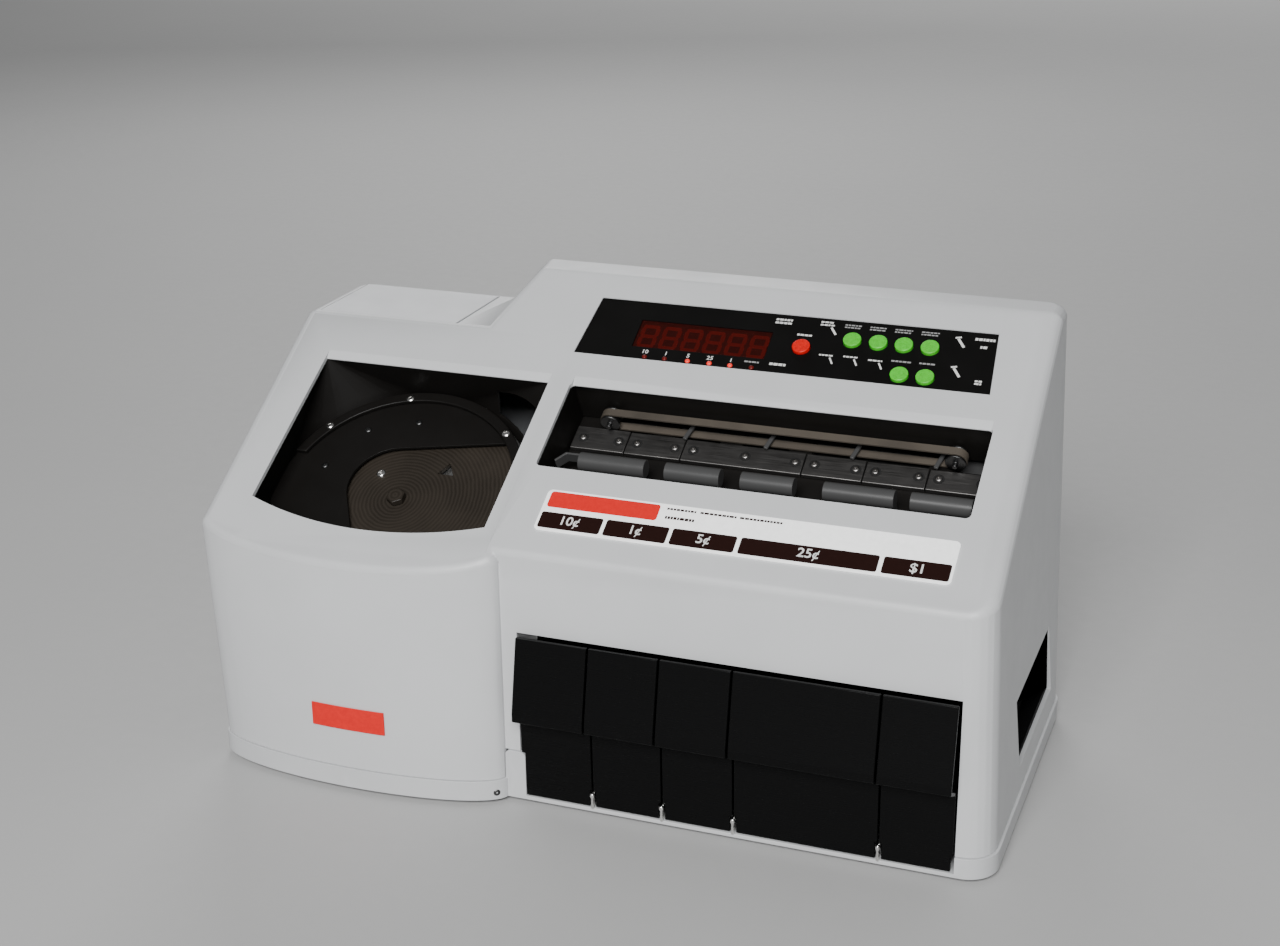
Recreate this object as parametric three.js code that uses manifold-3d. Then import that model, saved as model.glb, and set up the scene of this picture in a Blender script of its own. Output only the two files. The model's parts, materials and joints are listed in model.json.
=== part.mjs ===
// Coin sorting machine with a hopper, a sorting track and five coin drawers.
// Millimetres, +Z up, the drawers open towards -Y.
//
// Inside the machine group, x = 0 is the seam between the hopper module on the left and the
// sorter module on the right, y = 0 is the sorter's front wall and z = 0 is the skirt's lower edge.
// Inside the slope group, x is the same, y runs up the sloped face from the front crest,
// and z points out of that face.

import * as THREE from 'three';
import Module from 'manifold-3d';
import { mergeVertices } from 'three/addons/utils/BufferGeometryUtils.js';
import { ConvexGeometry } from 'three/addons/geometries/ConvexGeometry.js';

const wasm = await Module();
wasm.setup();

// ---------------------------------------------------------------- driving sizes

const GAP = 0.3; // clearance between pieces that rest on each other
const WALL = 2.6; // moulded cover wall
const FOOT_HEIGHT = 3;

const HOPPER_W = 185.2; // width of the hopper module at its foot
const SORTER_W = 285.3; // width of the sorter module at its foot
const HOPPER_LEAN = 0.046; // the hopper's side leans out as it rises
const SORTER_LEAN = 0.036; // the sorter's side leans in as it rises
const ORIGIN_X = -45.8; // the seam, seen from the middle of the whole object
const DEPTH = 217.6; // front wall to the back of the cover
const BULGE = 22; // how far the hopper module bows forward
const CORNER_R = 17; // upright front corner of the sorter
const REAR_R = 14; // upright rear corners
const EDGE_R = 7; // rounding of the case's other outer edges

const CREST_Z = 155.7; // where the front wall meets the slope
const SLOPE_ANGLE = THREE.MathUtils.degToRad(30.4);
const TOP_Z = 266.9; // top of the sorter module
const HOPPER_TOP_Z = 238.9; // lower top of the hopper module

const SKIRT_H = 12.5;
const SKIRT_OUT = 1.5;
const PAN_FLOOR = 2.5;

// The slanted wall between the two tops: where its foot starts, its lean and its skew in plan.
const STEP_FOOT_X = -68;
const STEP_FOOT_Y = 144;
const STEP_LEAN = 0.918;
const STEP_SKEW = -0.185;

// Windows, panel and label on the slope: [left, right, lower, upper].
const HOPPER_WINDOW = [-164.8, -13.9, 14.4, 127.7];
const HOPPER_WINDOW_DIP = 13.4;
const TRACK_WINDOW = [0, 253.8, 63, 127.7];
const PANEL = { bottom: 152.4, top: 198.9, left: [-6.1, -2.4], right: [246.6, 242.8] };
const LABEL = [15, 252.7, 17.3, 46.5];
const DISPLAY = [28, 111, 162, 184];

// Drawers, left to right: the gaps between their fronts, and the mouth they slide through.
const MOUTH = { left: 9.4, right: 265.3, top: 106.5 };
const DRAWER_SPLITS = [10.6, 54.7, 97, 139.5, 223, 264.9];
const DRAWER_BACK = 152;
const DRAWER_TOP = 92;
const BIN_INSET = 2.6; // bins are narrower than their fronts

// Hopper disc and the sorting track, in the slope group.
const DISC = { x: -94, s: 50, r: 80, top: -33.5, thick: 3 };
const DECK = { top: -34, thick: 2 };
const TRACK_LINE = 125; // middle of the belt over the coin path
const BELT = { x0: 22, x1: 232, width: 5, pulleyR: 5, thick: 1.2, lift: 1.4 };
const PLATE_ENDS = [0.5, 35, 70.5, 144.6, 180.8, 217.6, 254];
const PLATE_LOWER = 103.5;
const PLATE_UPPER = 120.5;
const SIDE_PLATE_X = [-4.5, 268]; // left faces of the plates under the track's two ends

const BUTTON_R = 5.4;
const BUTTON_TRAVEL_GAP = 0.35;
const RED_BUTTON = [130.8, 174];
const TOP_KEYS = [159.6, 175.2, 190.5, 205.9];
const TOP_KEYS_S = 183;
const LOWER_KEYS = [192.8, 207.9];
const LOWER_KEYS_S = 160;

// ---------------------------------------------------------------- materials

function material(color, roughness, metalness = 0) {
  return new THREE.MeshStandardMaterial({ color, roughness, metalness });
}

const casePlastic = () => material(0xc9cbce, 0.5);
const blackPlastic = () => material(0x151413, 0.35);
const panelPlastic = () => material(0x0d0d0e, 0.4);
const rubber = () => material(0x1c1c1c, 0.9);
const bareSteel = () => material(0xa9a9a7, 0.35, 0.9);
const greyPlate = () => material(0x77787a, 0.5, 0.4);
const circuitGreen = () => material(0x1f5a35, 0.6);

// ---------------------------------------------------------------- solids

// A closed geometry as a manifold solid, with its shared corners merged.
function solid(geometry) {
  const plain = geometry.clone();
  plain.deleteAttribute('normal');
  plain.deleteAttribute('uv');
  const merged = mergeVertices(plain, 1e-4);
  const vertProperties = new Float32Array(merged.attributes.position.array);
  const triVerts = new Uint32Array(merged.index.array);
  return new wasm.Manifold(new wasm.Mesh({ numProp: 3, vertProperties, triVerts }));
}

function geometryOf(body) {
  const mesh = body.getMesh();
  const geometry = new THREE.BufferGeometry();
  geometry.setAttribute('position', new THREE.BufferAttribute(mesh.vertProperties, 3));
  geometry.setIndex(new THREE.BufferAttribute(mesh.triVerts, 1));
  geometry.computeVertexNormals();
  return geometry;
}

function piece(name, finish, body) {
  const geometry = body.isBufferGeometry ? body : geometryOf(body);
  const mesh = new THREE.Mesh(geometry, finish);
  mesh.name = name;
  return mesh;
}

function union(...bodies) {
  return bodies.reduce((joined, body) => joined.add(body));
}

// A box from its low and high sides along x, y and z.
function box(x0, x1, y0, y1, z0, z1) {
  const geometry = new THREE.BoxGeometry(x1 - x0, y1 - y0, z1 - z0);
  geometry.translate((x0 + x1) / 2, (y0 + y1) / 2, (z0 + z1) / 2);
  return geometry;
}

const block = (...sides) => solid(box(...sides));

// A shape in the xy plane, raised from z0 to z1.
function raised(shape, z0, z1, curveSegments = 12) {
  const options = { depth: z1 - z0, bevelEnabled: false, curveSegments };
  const geometry = new THREE.ExtrudeGeometry(shape, options);
  geometry.translate(0, 0, z0);
  return geometry;
}

// A profile drawn as [y, z] points, carried along x from x0 to x1.
function alongX(points, x0, x1) {
  const shape = new THREE.Shape(points.map(([y, z]) => new THREE.Vector2(y, z)));
  const options = { depth: x1 - x0, bevelEnabled: false };
  const geometry = new THREE.ExtrudeGeometry(shape, options);
  // The shape's x and y become the machine's y and z, and its depth becomes x.
  geometry.applyMatrix4(new THREE.Matrix4().set(0, 0, 1, x0, 1, 0, 0, 0, 0, 1, 0, 0, 0, 0, 0, 1));
  return geometry;
}

// A shape drawn in x and z, carried along y from y0 to y1.
function alongY(shape, y0, y1) {
  const options = { depth: y1 - y0, bevelEnabled: false, curveSegments: 4 };
  const geometry = new THREE.ExtrudeGeometry(shape, options);
  geometry.rotateX(Math.PI / 2);
  geometry.translate(0, y1, 0);
  return geometry;
}

function polygon(points) {
  return new THREE.Shape(points.map(([x, y]) => new THREE.Vector2(x, y)));
}

function roundedRect([x0, x1, y0, y1], r) {
  const shape = new THREE.Shape();
  shape.moveTo(x0 + r, y0);
  shape.lineTo(x1 - r, y0);
  shape.absarc(x1 - r, y0 + r, r, -Math.PI / 2, 0, false);
  shape.lineTo(x1, y1 - r);
  shape.absarc(x1 - r, y1 - r, r, 0, Math.PI / 2, false);
  shape.lineTo(x0 + r, y1);
  shape.absarc(x0 + r, y1 - r, r, Math.PI / 2, Math.PI, false);
  shape.lineTo(x0, y0 + r);
  shape.absarc(x0 + r, y0 + r, r, Math.PI, 1.5 * Math.PI, false);
  return shape;
}

// An upright cylinder from z0 to z1.
function post(x, y, r, z0, z1, sides = 24) {
  const geometry = new THREE.CylinderGeometry(r, r, z1 - z0, sides);
  geometry.rotateX(Math.PI / 2);
  geometry.translate(x, y, (z0 + z1) / 2);
  return geometry;
}

// A cylinder along y, from y0 to y1.
function rod(x, z, r, y0, y1, sides = 20) {
  const geometry = new THREE.CylinderGeometry(r, r, y1 - y0, sides);
  geometry.translate(x, (y0 + y1) / 2, z);
  return geometry;
}

// A cylinder along x, from x0 to x1.
function roller(y, z, r, x0, x1, sides = 20) {
  const geometry = new THREE.CylinderGeometry(r, r, x1 - x0, sides);
  geometry.rotateZ(Math.PI / 2);
  geometry.translate((x0 + x1) / 2, y, z);
  return geometry;
}

// Slope coordinates to machine coordinates, and back.
const slopeToMachine = new THREE.Matrix4()
  .makeRotationX(SLOPE_ANGLE)
  .setPosition(0, 0, CREST_Z);
const machineToSlope = slopeToMachine.clone().invert();

const fromSlope = (geometry) => solid(geometry.clone().applyMatrix4(slopeToMachine));
const toSlope = (geometry) => solid(geometry.clone().applyMatrix4(machineToSlope));

// ---------------------------------------------------------------- the case's outer form

// The plan of both modules, grown outwards (or shrunk) and raised from z0 to z1.
function planBlock(grow, z0, z1) {
  const rear = DEPTH - REAR_R;
  const back = DEPTH + grow;
  const hopper = new THREE.Shape();
  hopper.moveTo(0, back);
  hopper.absarc(REAR_R - HOPPER_W, rear, REAR_R + grow, Math.PI / 2, Math.PI, false);
  hopper.lineTo(-HOPPER_W - grow, 0);
  hopper.absellipse(-HOPPER_W / 2, 0, HOPPER_W / 2 + grow, BULGE + grow, Math.PI, 2 * Math.PI, false);
  hopper.lineTo(grow, back);
  const overlap = -10; // the sorter's plan starts inside the hopper's
  const sorter = new THREE.Shape();
  sorter.moveTo(overlap, back);
  sorter.lineTo(overlap, -grow);
  sorter.absarc(SORTER_W - CORNER_R, CORNER_R, CORNER_R + grow, -Math.PI / 2, 0, false);
  sorter.absarc(SORTER_W - REAR_R, rear, REAR_R + grow, 0, Math.PI / 2, false);
  return union(solid(raised(hopper, z0, z1, 40)), solid(raised(sorter, z0, z1, 8)));
}

const UPWARDS = new THREE.Vector3(0, 0, 1);
const SLOPE_NORMAL = new THREE.Vector3(0, -Math.sin(SLOPE_ANGLE), Math.cos(SLOPE_ANGLE));
const STEP_NORMAL = new THREE.Vector3(-1, STEP_SKEW, STEP_LEAN).normalize();
const TURN = THREE.MathUtils.degToRad(15); // facet angle of the rounded edges

// Everything outside a plane that has been moved inwards by EDGE_R.
function beyond(normal, x, y, z) {
  const reach = 900;
  const turn = new THREE.Quaternion().setFromUnitVectors(UPWARDS, normal);
  const place = new THREE.Matrix4().compose(new THREE.Vector3(x, y, z), turn, new THREE.Vector3(1, 1, 1));
  return solid(box(-reach, reach, -reach, reach, -EDGE_R, reach).applyMatrix4(place));
}

function arcPoints(x, y, r, from, to) {
  const steps = Math.round((to - from) / TURN);
  return Array.from({ length: steps + 1 }, (_, i) => {
    const angle = from + ((to - from) * i) / steps;
    return [x + r * Math.cos(angle), y + r * Math.sin(angle)];
  });
}

const hopperWidth = (z) => HOPPER_W + HOPPER_LEAN * (z - SKIRT_H);
const sorterWidth = (z) => SORTER_W - SORTER_LEAN * (z - SKIRT_H);

// The hopper module's plan at height z, moved inwards by EDGE_R: its bowed front and its rear corner.
function hopperCorePlan(z) {
  const steps = 36;
  const width = hopperWidth(z);
  const half = width / 2;
  const front = Array.from({ length: steps + 1 }, (_, i) => {
    const t = Math.PI * (1 + i / steps);
    const normal = new THREE.Vector2(Math.cos(t) / half, Math.sin(t) / BULGE).normalize();
    return [half * Math.cos(t) - half - EDGE_R * normal.x, BULGE * Math.sin(t) - EDGE_R * normal.y];
  });
  const rear = arcPoints(REAR_R - width, DEPTH - REAR_R, REAR_R - EDGE_R, Math.PI / 2, Math.PI);
  return [...front, ...rear, [-EDGE_R, DEPTH - EDGE_R]];
}

// The sorter module's plan at height z, moved inwards; its left end lies inside the hopper module.
function sorterCorePlan(z) {
  const hidden = -95;
  const width = sorterWidth(z);
  return [
    [hidden, EDGE_R],
    ...arcPoints(width - CORNER_R, CORNER_R, CORNER_R - EDGE_R, -Math.PI / 2, 0),
    ...arcPoints(width - REAR_R, DEPTH - REAR_R, REAR_R - EDGE_R, 0, Math.PI / 2),
    [hidden, DEPTH - EDGE_R],
  ];
}

// The corners of a convex module that stands EDGE_R inside the real one.
function coreCorners(planAt, limits) {
  const ends = [-60, 400].flatMap((z) => planAt(z).map(([x, y]) => new THREE.Vector3(x, y, z)));
  const body = limits.reduce((rest, limit) => rest.subtract(limit), solid(new ConvexGeometry(ends)));
  const place = geometryOf(body).getAttribute('position');
  const corners = new Map();
  for (let i = 0; i < place.count; i += 1) {
    const corner = new THREE.Vector3().fromBufferAttribute(place, i);
    corners.set(corner.toArray().map((value) => value.toFixed(3)).join(), corner);
  }
  return [...corners.values()];
}

// Unit directions over the rounded edges between the upright faces and the given upper ones.
function roundingDirections(upper) {
  const upright = arcPoints(0, 0, 1, TURN, 2 * Math.PI).map(([x, y]) => new THREE.Vector3(x, y, 0));
  const between = (a, b, steps) => Array.from({ length: steps - 1 }, (_, i) =>
    a.clone().lerp(b, (i + 1) / steps).normalize());
  const rising = upright.flatMap((side) => upper.flatMap((top) => between(side, top, 6)));
  const joining = upper.flatMap((a, i) => upper.slice(i + 1).flatMap((b) => between(a, b, 4)));
  return [...upright, ...upper, ...rising, ...joining];
}

const SLOPE_LIMIT = beyond(SLOPE_NORMAL, 0, 0, CREST_Z);
const CASE_MODULES = [
  {
    corners: coreCorners(hopperCorePlan, [SLOPE_LIMIT, beyond(UPWARDS, 0, 0, HOPPER_TOP_Z)]),
    directions: roundingDirections([UPWARDS, SLOPE_NORMAL]),
  },
  {
    corners: coreCorners(sorterCorePlan, [
      SLOPE_LIMIT,
      beyond(UPWARDS, 0, 0, TOP_Z),
      beyond(STEP_NORMAL, STEP_FOOT_X, STEP_FOOT_Y, HOPPER_TOP_Z),
    ]),
    directions: roundingDirections([UPWARDS, SLOPE_NORMAL, STEP_NORMAL]),
  },
];

// Both modules with rounded edges, shrunk by inset and cut off level at z0.
function caseForm(inset, z0) {
  const modules = CASE_MODULES.map(({ corners, directions }) => {
    const spread = corners.flatMap((corner) =>
      directions.map((direction) => corner.clone().addScaledVector(direction, EDGE_R - inset)));
    return solid(new ConvexGeometry(spread));
  });
  return union(...modules).intersect(block(-600, 600, -600, 600, z0, 600));
}

// ---------------------------------------------------------------- openings in the slope

function hopperWindowShape(grow) {
  const [left, right, corner, upper] = HOPPER_WINDOW;
  const half = (right - left) / 2;
  const radius = (half * half + HOPPER_WINDOW_DIP ** 2) / (2 * HOPPER_WINDOW_DIP);
  const middle = (left + right) / 2;
  const turn = Math.asin(half / radius);
  const shape = new THREE.Shape();
  shape.moveTo(left - grow, upper + grow);
  shape.lineTo(left - grow, corner - grow);
  shape.absarc(middle, corner - HOPPER_WINDOW_DIP + radius - grow, radius,
    -Math.PI / 2 - turn, -Math.PI / 2 + turn, false);
  shape.lineTo(right + grow, corner - grow);
  shape.lineTo(right + grow, upper + grow);
  return shape;
}

function panelShape(grow) {
  const { bottom, top, left, right } = PANEL;
  return polygon([
    [left[0] - grow, bottom - grow],
    [right[0] + grow, bottom - grow],
    [right[1] + grow, top + grow],
    [left[1] - grow, top + grow],
  ]);
}

const PANEL_SEAT = -1.6; // depth of the shelf that the control panel lies on
const PANEL_LEDGE = 1.5;
const EAVE = { run: 5.5, depth: 2 }; // long chamfer on each window's upper edge

// The wedge cut off a window's upper edge, on the slope, from x0 to x1.
function eaveCut(x0, x1, upper) {
  const { run, depth } = EAVE;
  const wedge = [[upper - 1, -depth], [upper, -depth], [upper + run, 0], [upper + run, 5], [upper - 1, 5]];
  return fromSlope(alongX(wedge, x0, x1));
}

function slopeOpenings() {
  const through = [-30, 30];
  return union(
    fromSlope(raised(hopperWindowShape(0), ...through, 16)),
    fromSlope(raised(roundedRect(TRACK_WINDOW, 3), ...through, 4)),
    fromSlope(raised(panelShape(GAP), PANEL_SEAT, 30)),
    fromSlope(raised(panelShape(-PANEL_LEDGE), ...through)),
    eaveCut(HOPPER_WINDOW[0], HOPPER_WINDOW[1], HOPPER_WINDOW[3]),
    eaveCut(TRACK_WINDOW[0] + 1, TRACK_WINDOW[1] - 1, TRACK_WINDOW[3]),
  );
}

// ---------------------------------------------------------------- case pieces

const GRIP = { y: [66, 171], foot: 29, top: 77, lean: 14 }; // leaning hand hole in each side
const PRINTER_BAY = [-187, -90, 145, 211];
const BAY_SEAT = 1.6;
const BAY_LEDGE = 5;
const BAY_GROOVE = 1.6; // open groove beside the bay cover's inner edge
const TAB = { right: 12.9, top: 30.5 }; // upright tab of the pan beside the first drawer

// The hand hole's leaning outline in y and z.
function gripProfile(grow) {
  const [y0, y1] = GRIP.y;
  const low = GRIP.foot - grow;
  const high = GRIP.top + grow;
  return [[y0 + GRIP.lean - grow, low], [y1 + GRIP.lean + grow, low], [y1 + grow, high], [y0 - grow, high]];
}

function topCover() {
  const coverFoot = SKIRT_H + GAP;
  const shell = caseForm(0, coverFoot).subtract(caseForm(WALL, -20));
  const [bx0, bx1, by0, by1] = PRINTER_BAY;
  const cuts = union(
    slopeOpenings(),
    block(MOUTH.left, MOUTH.right, -5, WALL + 5, -10, MOUTH.top),
    block(0, MOUTH.left + 1, -5, WALL + 5, -10, TAB.top + GAP),
    solid(alongX(gripProfile(0), -HOPPER_W - 20, SORTER_W + 20)),
    block(bx0, bx1, by0, by1, HOPPER_TOP_Z - BAY_SEAT, TOP_Z),
    block(bx0 + BAY_LEDGE, bx1 - BAY_LEDGE, by0 + BAY_LEDGE, by1 - BAY_LEDGE, HOPPER_TOP_Z - 20, TOP_Z),
    rearOpening(0, -20, DEPTH - WALL - 5, DEPTH + 5),
  );
  return piece('top_cover', casePlastic(), shell.subtract(cuts));
}

function basePan() {
  const tray = planBlock(SKIRT_OUT, 0, SKIRT_H);
  const hollow = planBlock(-SKIRT_OUT, PAN_FLOOR, SKIRT_H + 10);
  const mouth = block(TAB.right, MOUTH.right, -10, 5, PAN_FLOOR, SKIRT_H + 10);
  const tab = alongY(roundedRect([GAP, TAB.right, -10, TAB.top], 3), -SKIRT_OUT, WALL - GAP);
  const standing = solid(tab).intersect(block(-5, 20, -5, 5, 1, TAB.top + 1));
  return piece('base_pan', casePlastic(), tray.subtract(hollow).subtract(mouth).add(standing));
}

const SOCKET = { x0: 205, x1: 233, z0: 40, z1: 64 };
const ROCKER_HOLE = { x0: 240, x1: 255, z0: 41, z1: 63 };
const REAR_PANEL_Y = [DEPTH - 3.5, DEPTH - 1.5];
const REAR_RIM = 9; // cover's rim over the back opening

// The opening in the cover's back, which follows both tops and the slanted step.
function rearOpening(inset, z0, y0, y1) {
  const left = REAR_R - HOPPER_W + inset;
  const right = sorterWidth(TOP_Z) - REAR_R - inset;
  const low = HOPPER_TOP_Z - REAR_RIM - inset;
  const high = TOP_Z - REAR_RIM - inset;
  const stepX = STEP_FOOT_X + STEP_SKEW * (DEPTH - STEP_FOOT_Y) + REAR_RIM + inset;
  const stepTop = stepX + STEP_LEAN * (high - low);
  const stepCorners = [[stepTop, high], [stepX, low]];
  const outline = polygon([[left, z0], [right, z0], [right, high], ...stepCorners, [left, low]]);
  return solid(alongY(outline, y0, y1));
}

function rearPanel() {
  const [y0, y1] = REAR_PANEL_Y;
  const plate = rearOpening(GAP, SKIRT_H + 1, y0, y1);
  const holes = union(
    block(SOCKET.x0, SOCKET.x1, y0 - 5, y1 + 5, SOCKET.z0, SOCKET.z1),
    block(ROCKER_HOLE.x0, ROCKER_HOLE.x1, y0 - 5, y1 + 5, ROCKER_HOLE.z0, ROCKER_HOLE.z1),
    block(150, 182, y0 - 5, y1 + 5, 44, 58), // data port
    ...ventSlots(y0, y1),
  );
  return piece('rear_panel', material(0x8d8f92, 0.5, 0.5), plate.subtract(holes));
}

function ventSlots(y0, y1) {
  const count = 9;
  const pitch = 9;
  return Array.from({ length: count }, (_, i) => {
    const x = -40 + i * pitch;
    return block(x, x + 4, y0 - 5, y1 + 5, 150, 190);
  });
}

function printerBayCover() {
  const [x0, x1, y0, y1] = PRINTER_BAY;
  const foot = HOPPER_TOP_Z - BAY_SEAT + GAP;
  const plate = box(x0 + GAP, x1 - BAY_GROOVE, y0 + GAP, y1 - GAP, foot, HOPPER_TOP_Z);
  return piece('printer_bay_cover', casePlastic(), plate);
}

// A thin badge that follows the bowed front of the hopper module.
function frontBadge() {
  const [x0, x1, z0, z1] = [-114, -67, 38, 52.6];
  const steps = 8;
  const frontY = (x, lift) => {
    const t = (x + HOPPER_W / 2) / (HOPPER_W / 2);
    return -BULGE * Math.sqrt(1 - t * t) - lift;
  };
  const xs = Array.from({ length: steps + 1 }, (_, i) => x0 + ((x1 - x0) * i) / steps);
  const outer = xs.map((x) => [x, frontY(x, 1.1)]);
  const inner = xs.map((x) => [x, frontY(x, GAP)]).reverse();
  return piece('front_badge', material(0xc8181c, 0.4), raised(polygon([...outer, ...inner]), z0, z1));
}

// A hand pocket set into a side wall, open towards the outside.
function gripPocket(name, side) {
  const wallX = side > 0 ? sorterWidth(GRIP.top) : -hopperWidth(GRIP.foot);
  const depth = 13.3;
  const rim = 1.4;
  const outerX = wallX - side * 0.6;
  const innerX = wallX - side * depth;
  const span = (a, b) => [Math.min(a, b), Math.max(a, b)];
  const tub = solid(alongX(gripProfile(-GAP), ...span(outerX, innerX)));
  const hollow = solid(alongX(gripProfile(-GAP - rim), ...span(outerX + side * 5, innerX + side * rim)));
  return piece(name, blackPlastic(), tub.subtract(hollow));
}

function rubberFeet() {
  const places = [[-150, 18], [262, 24], [-164, 196], [262, 196]];
  const foot = ([x, y]) => post(x, y, 9, -FOOT_HEIGHT, -GAP);
  return places.map((place, i) => piece(`rubber_foot_${i + 1}`, rubber(), foot(place)));
}

// ---------------------------------------------------------------- drawers

const FRONT = {
  topY: -6, topZ: 105.7, // leaning upper panel
  ridgeY: -14.6, ridgeHigh: 62, ridgeLow: 57, // the pull ridge
  stepY: -2.5, stepZ: 50.5, // under the ridge
  footY: -1.2, footZ: 3.4,
  sheet: 2.4,
};

function drawerFrontLine(inset) {
  const { topY, topZ, ridgeY, ridgeHigh, ridgeLow, stepY, stepZ, footY, footZ } = FRONT;
  return [
    [topY + inset, topZ],
    [ridgeY + inset, ridgeHigh],
    [ridgeY + inset, ridgeLow + inset * 0.6],
    [stepY + inset, stepZ + inset * 0.6],
    [footY + inset, footZ],
  ];
}

function drawer(index) {
  const seam = 0.5; // half the gap between two fronts
  const x0 = DRAWER_SPLITS[index] + seam;
  const x1 = DRAWER_SPLITS[index + 1] - seam;
  const wall = 1.6;
  const { footZ, sheet, topZ } = FRONT;
  const outside = drawerFrontLine(0);
  const inside = drawerFrontLine(sheet);
  const front = solid(alongX([...outside, ...inside.reverse()], x0, x1));
  const binOutline = [...outside.slice(1), [DRAWER_BACK, footZ], [DRAWER_BACK, DRAWER_TOP], [-5, DRAWER_TOP]];
  const bin = solid(alongX(binOutline, x0 + BIN_INSET, x1 - BIN_INSET));
  const floor = footZ + wall;
  const hollowOutline = [
    [inside[4][0], topZ + 5],
    ...drawerFrontLine(sheet).slice(0, 4),
    [inside[0][0] + 0.1, floor],
    [DRAWER_BACK - wall, floor],
    [DRAWER_BACK - wall, topZ + 5],
  ];
  const hollow = solid(alongX(hollowOutline, x0 + BIN_INSET + wall, x1 - BIN_INSET - wall));
  // Lower corners give way to the steel guides, and the first drawer to the pan's tab.
  const notch = 1.3;
  const notches = union(
    block(x0 - 1, x0 + notch, -5, 8, 0, SKIRT_H + 1.2),
    block(x1 - notch, x1 + 1, -5, 8, 0, SKIRT_H + 1.2),
    block(0, TAB.right + GAP, -5, 8, 0, TAB.top + 0.7),
  );
  const body = bin.add(front).subtract(hollow).subtract(notches);
  return piece(`coin_drawer_${index + 1}`, blackPlastic(), body);
}

// One bent steel comb: a rear strip with four long fins that keep the drawers apart.
function drawerGuides() {
  const z0 = PAN_FLOOR + GAP;
  const half = 0.5;
  const strip = block(40, 240, DRAWER_BACK + 3, DRAWER_BACK + 12, z0, z0 + 1.2);
  const fins = DRAWER_SPLITS.slice(1, -1).map((x) => {
    const radius = 3;
    const back = DRAWER_BACK + 8;
    const shape = new THREE.Shape();
    shape.moveTo(0, z0);
    shape.lineTo(0, SKIRT_H - radius);
    shape.absarc(radius, SKIRT_H - radius, radius, Math.PI, Math.PI / 2, true);
    shape.lineTo(back, SKIRT_H);
    shape.lineTo(back, z0);
    return solid(alongX(shape.getPoints(5).map((p) => [p.x, p.y]), x - half, x + half));
  });
  return piece('drawer_guides', bareSteel(), union(strip, ...fins));
}

// ---------------------------------------------------------------- hopper (slope group)

const SHROUD = { foot: DISC.top + 2.5, top: DISC.top + 4.3 };
const BOWL = { top: -WALL - GAP, foot: DISC.top - DISC.thick - 1, wall: 2 };

function circlePoints(x, s, r, n, count = 48) {
  return Array.from({ length: count }, (_, i) => {
    const turn = (2 * Math.PI * i) / count;
    return new THREE.Vector3(x + r * Math.cos(turn), s + r * Math.sin(turn), n);
  });
}

// A funnel between the window's outline and the circle round the disc.
function funnel(grow, top, foot) {
  const mouth = hopperWindowShape(grow).getPoints(16).map((p) => new THREE.Vector3(p.x, p.y, top));
  const throat = circlePoints(DISC.x, DISC.s, DISC.r + GAP + grow, foot, 64);
  return solid(new ConvexGeometry([...mouth, ...throat]));
}

function hopperBowl() {
  const { top, foot, wall } = BOWL;
  const inner = 0.6;
  const wellR = DISC.r + GAP + inner;
  const wellTop = SHROUD.top + GAP;
  const outerWell = solid(post(DISC.x, DISC.s, wellR + wall, foot, wellTop + wall, 64));
  const well = solid(post(DISC.x, DISC.s, wellR, foot - 1, wellTop, 64));
  const outer = funnel(inner + wall, top, foot).add(outerWell);
  const hollow = funnel(inner, top + 1, foot - 1).add(well);
  // The right-hand wall opens on to the track, where the coins leave.
  const exit = block(DISC.x + 40, 10, 104, 134, DECK.top, -18);
  return piece('hopper_bowl', blackPlastic(), outer.subtract(hollow).subtract(exit));
}

const RING = { foot: SHROUD.top + GAP, top: SHROUD.top + 3, inner: 73 };

// A thin guard over the upper part of the disc. Its lower edge steers the coins to the exit.
function discShroud() {
  const guard = solid(post(DISC.x, DISC.s, DISC.r - GAP, SHROUD.foot, SHROUD.top, 64));
  const sweep = circlePoints(DISC.x - 6, DISC.s + 8, 28, 0, 32);
  const corners = [[20, 111], [20, -60], [-70, -60]].map(([x, s]) => new THREE.Vector3(x, s, 0));
  const outline = [...sweep, ...corners];
  const raisedBy = (n) => outline.map((p) => p.clone().setZ(n));
  const opening = solid(new ConvexGeometry([...raisedBy(SHROUD.foot - 5), ...raisedBy(SHROUD.top + 5)]));
  return piece('disc_shroud', blackPlastic(), guard.subtract(opening));
}

// The raised ring that clamps the guard, over the upper half of the disc only.
function shroudRing() {
  const { foot, top, inner } = RING;
  const ring = solid(post(DISC.x, DISC.s, DISC.r - GAP, foot, top, 64));
  const bore = solid(post(DISC.x, DISC.s, inner, foot - 1, top + 1, 64));
  const lower = block(-400, 400, -400, DISC.s + 22, foot - 1, top + 1);
  return piece('shroud_ring', blackPlastic(), ring.subtract(union(bore, lower)));
}

const KEYHOLE = { x: 23, s: 26, r: 6 }; // triangular hole, from the disc's centre
const HUB_R = 6;
const SHAFT_R = 3;

function hopperDisc() {
  const { x, s, r, top, thick } = DISC;
  const plate = solid(post(x, s, r, top - thick, top, 64));
  const hub = solid(post(x, s, SHAFT_R + GAP, top - 10, top + 5));
  const keyhole = post(0, 0, KEYHOLE.r, top - 10, top + 5, 3);
  keyhole.rotateZ(Math.PI);
  keyhole.translate(x + KEYHOLE.x, s + KEYHOLE.s, 0);
  return piece('hopper_disc', material(0x6b6051, 0.5, 0.2), plate.subtract(hub.add(solid(keyhole))));
}

function discNut() {
  const cap = post(DISC.x, DISC.s, HUB_R, DISC.top + GAP, DISC.top + 4.3, 6);
  return piece('disc_nut', material(0x2a2826, 0.4, 0.5), cap);
}

const MOTOR_PLATE = { top: BOWL.foot - GAP, thick: 2, r: 84 };
const GEARBOX = { half: 21, foot: -66 };

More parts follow.
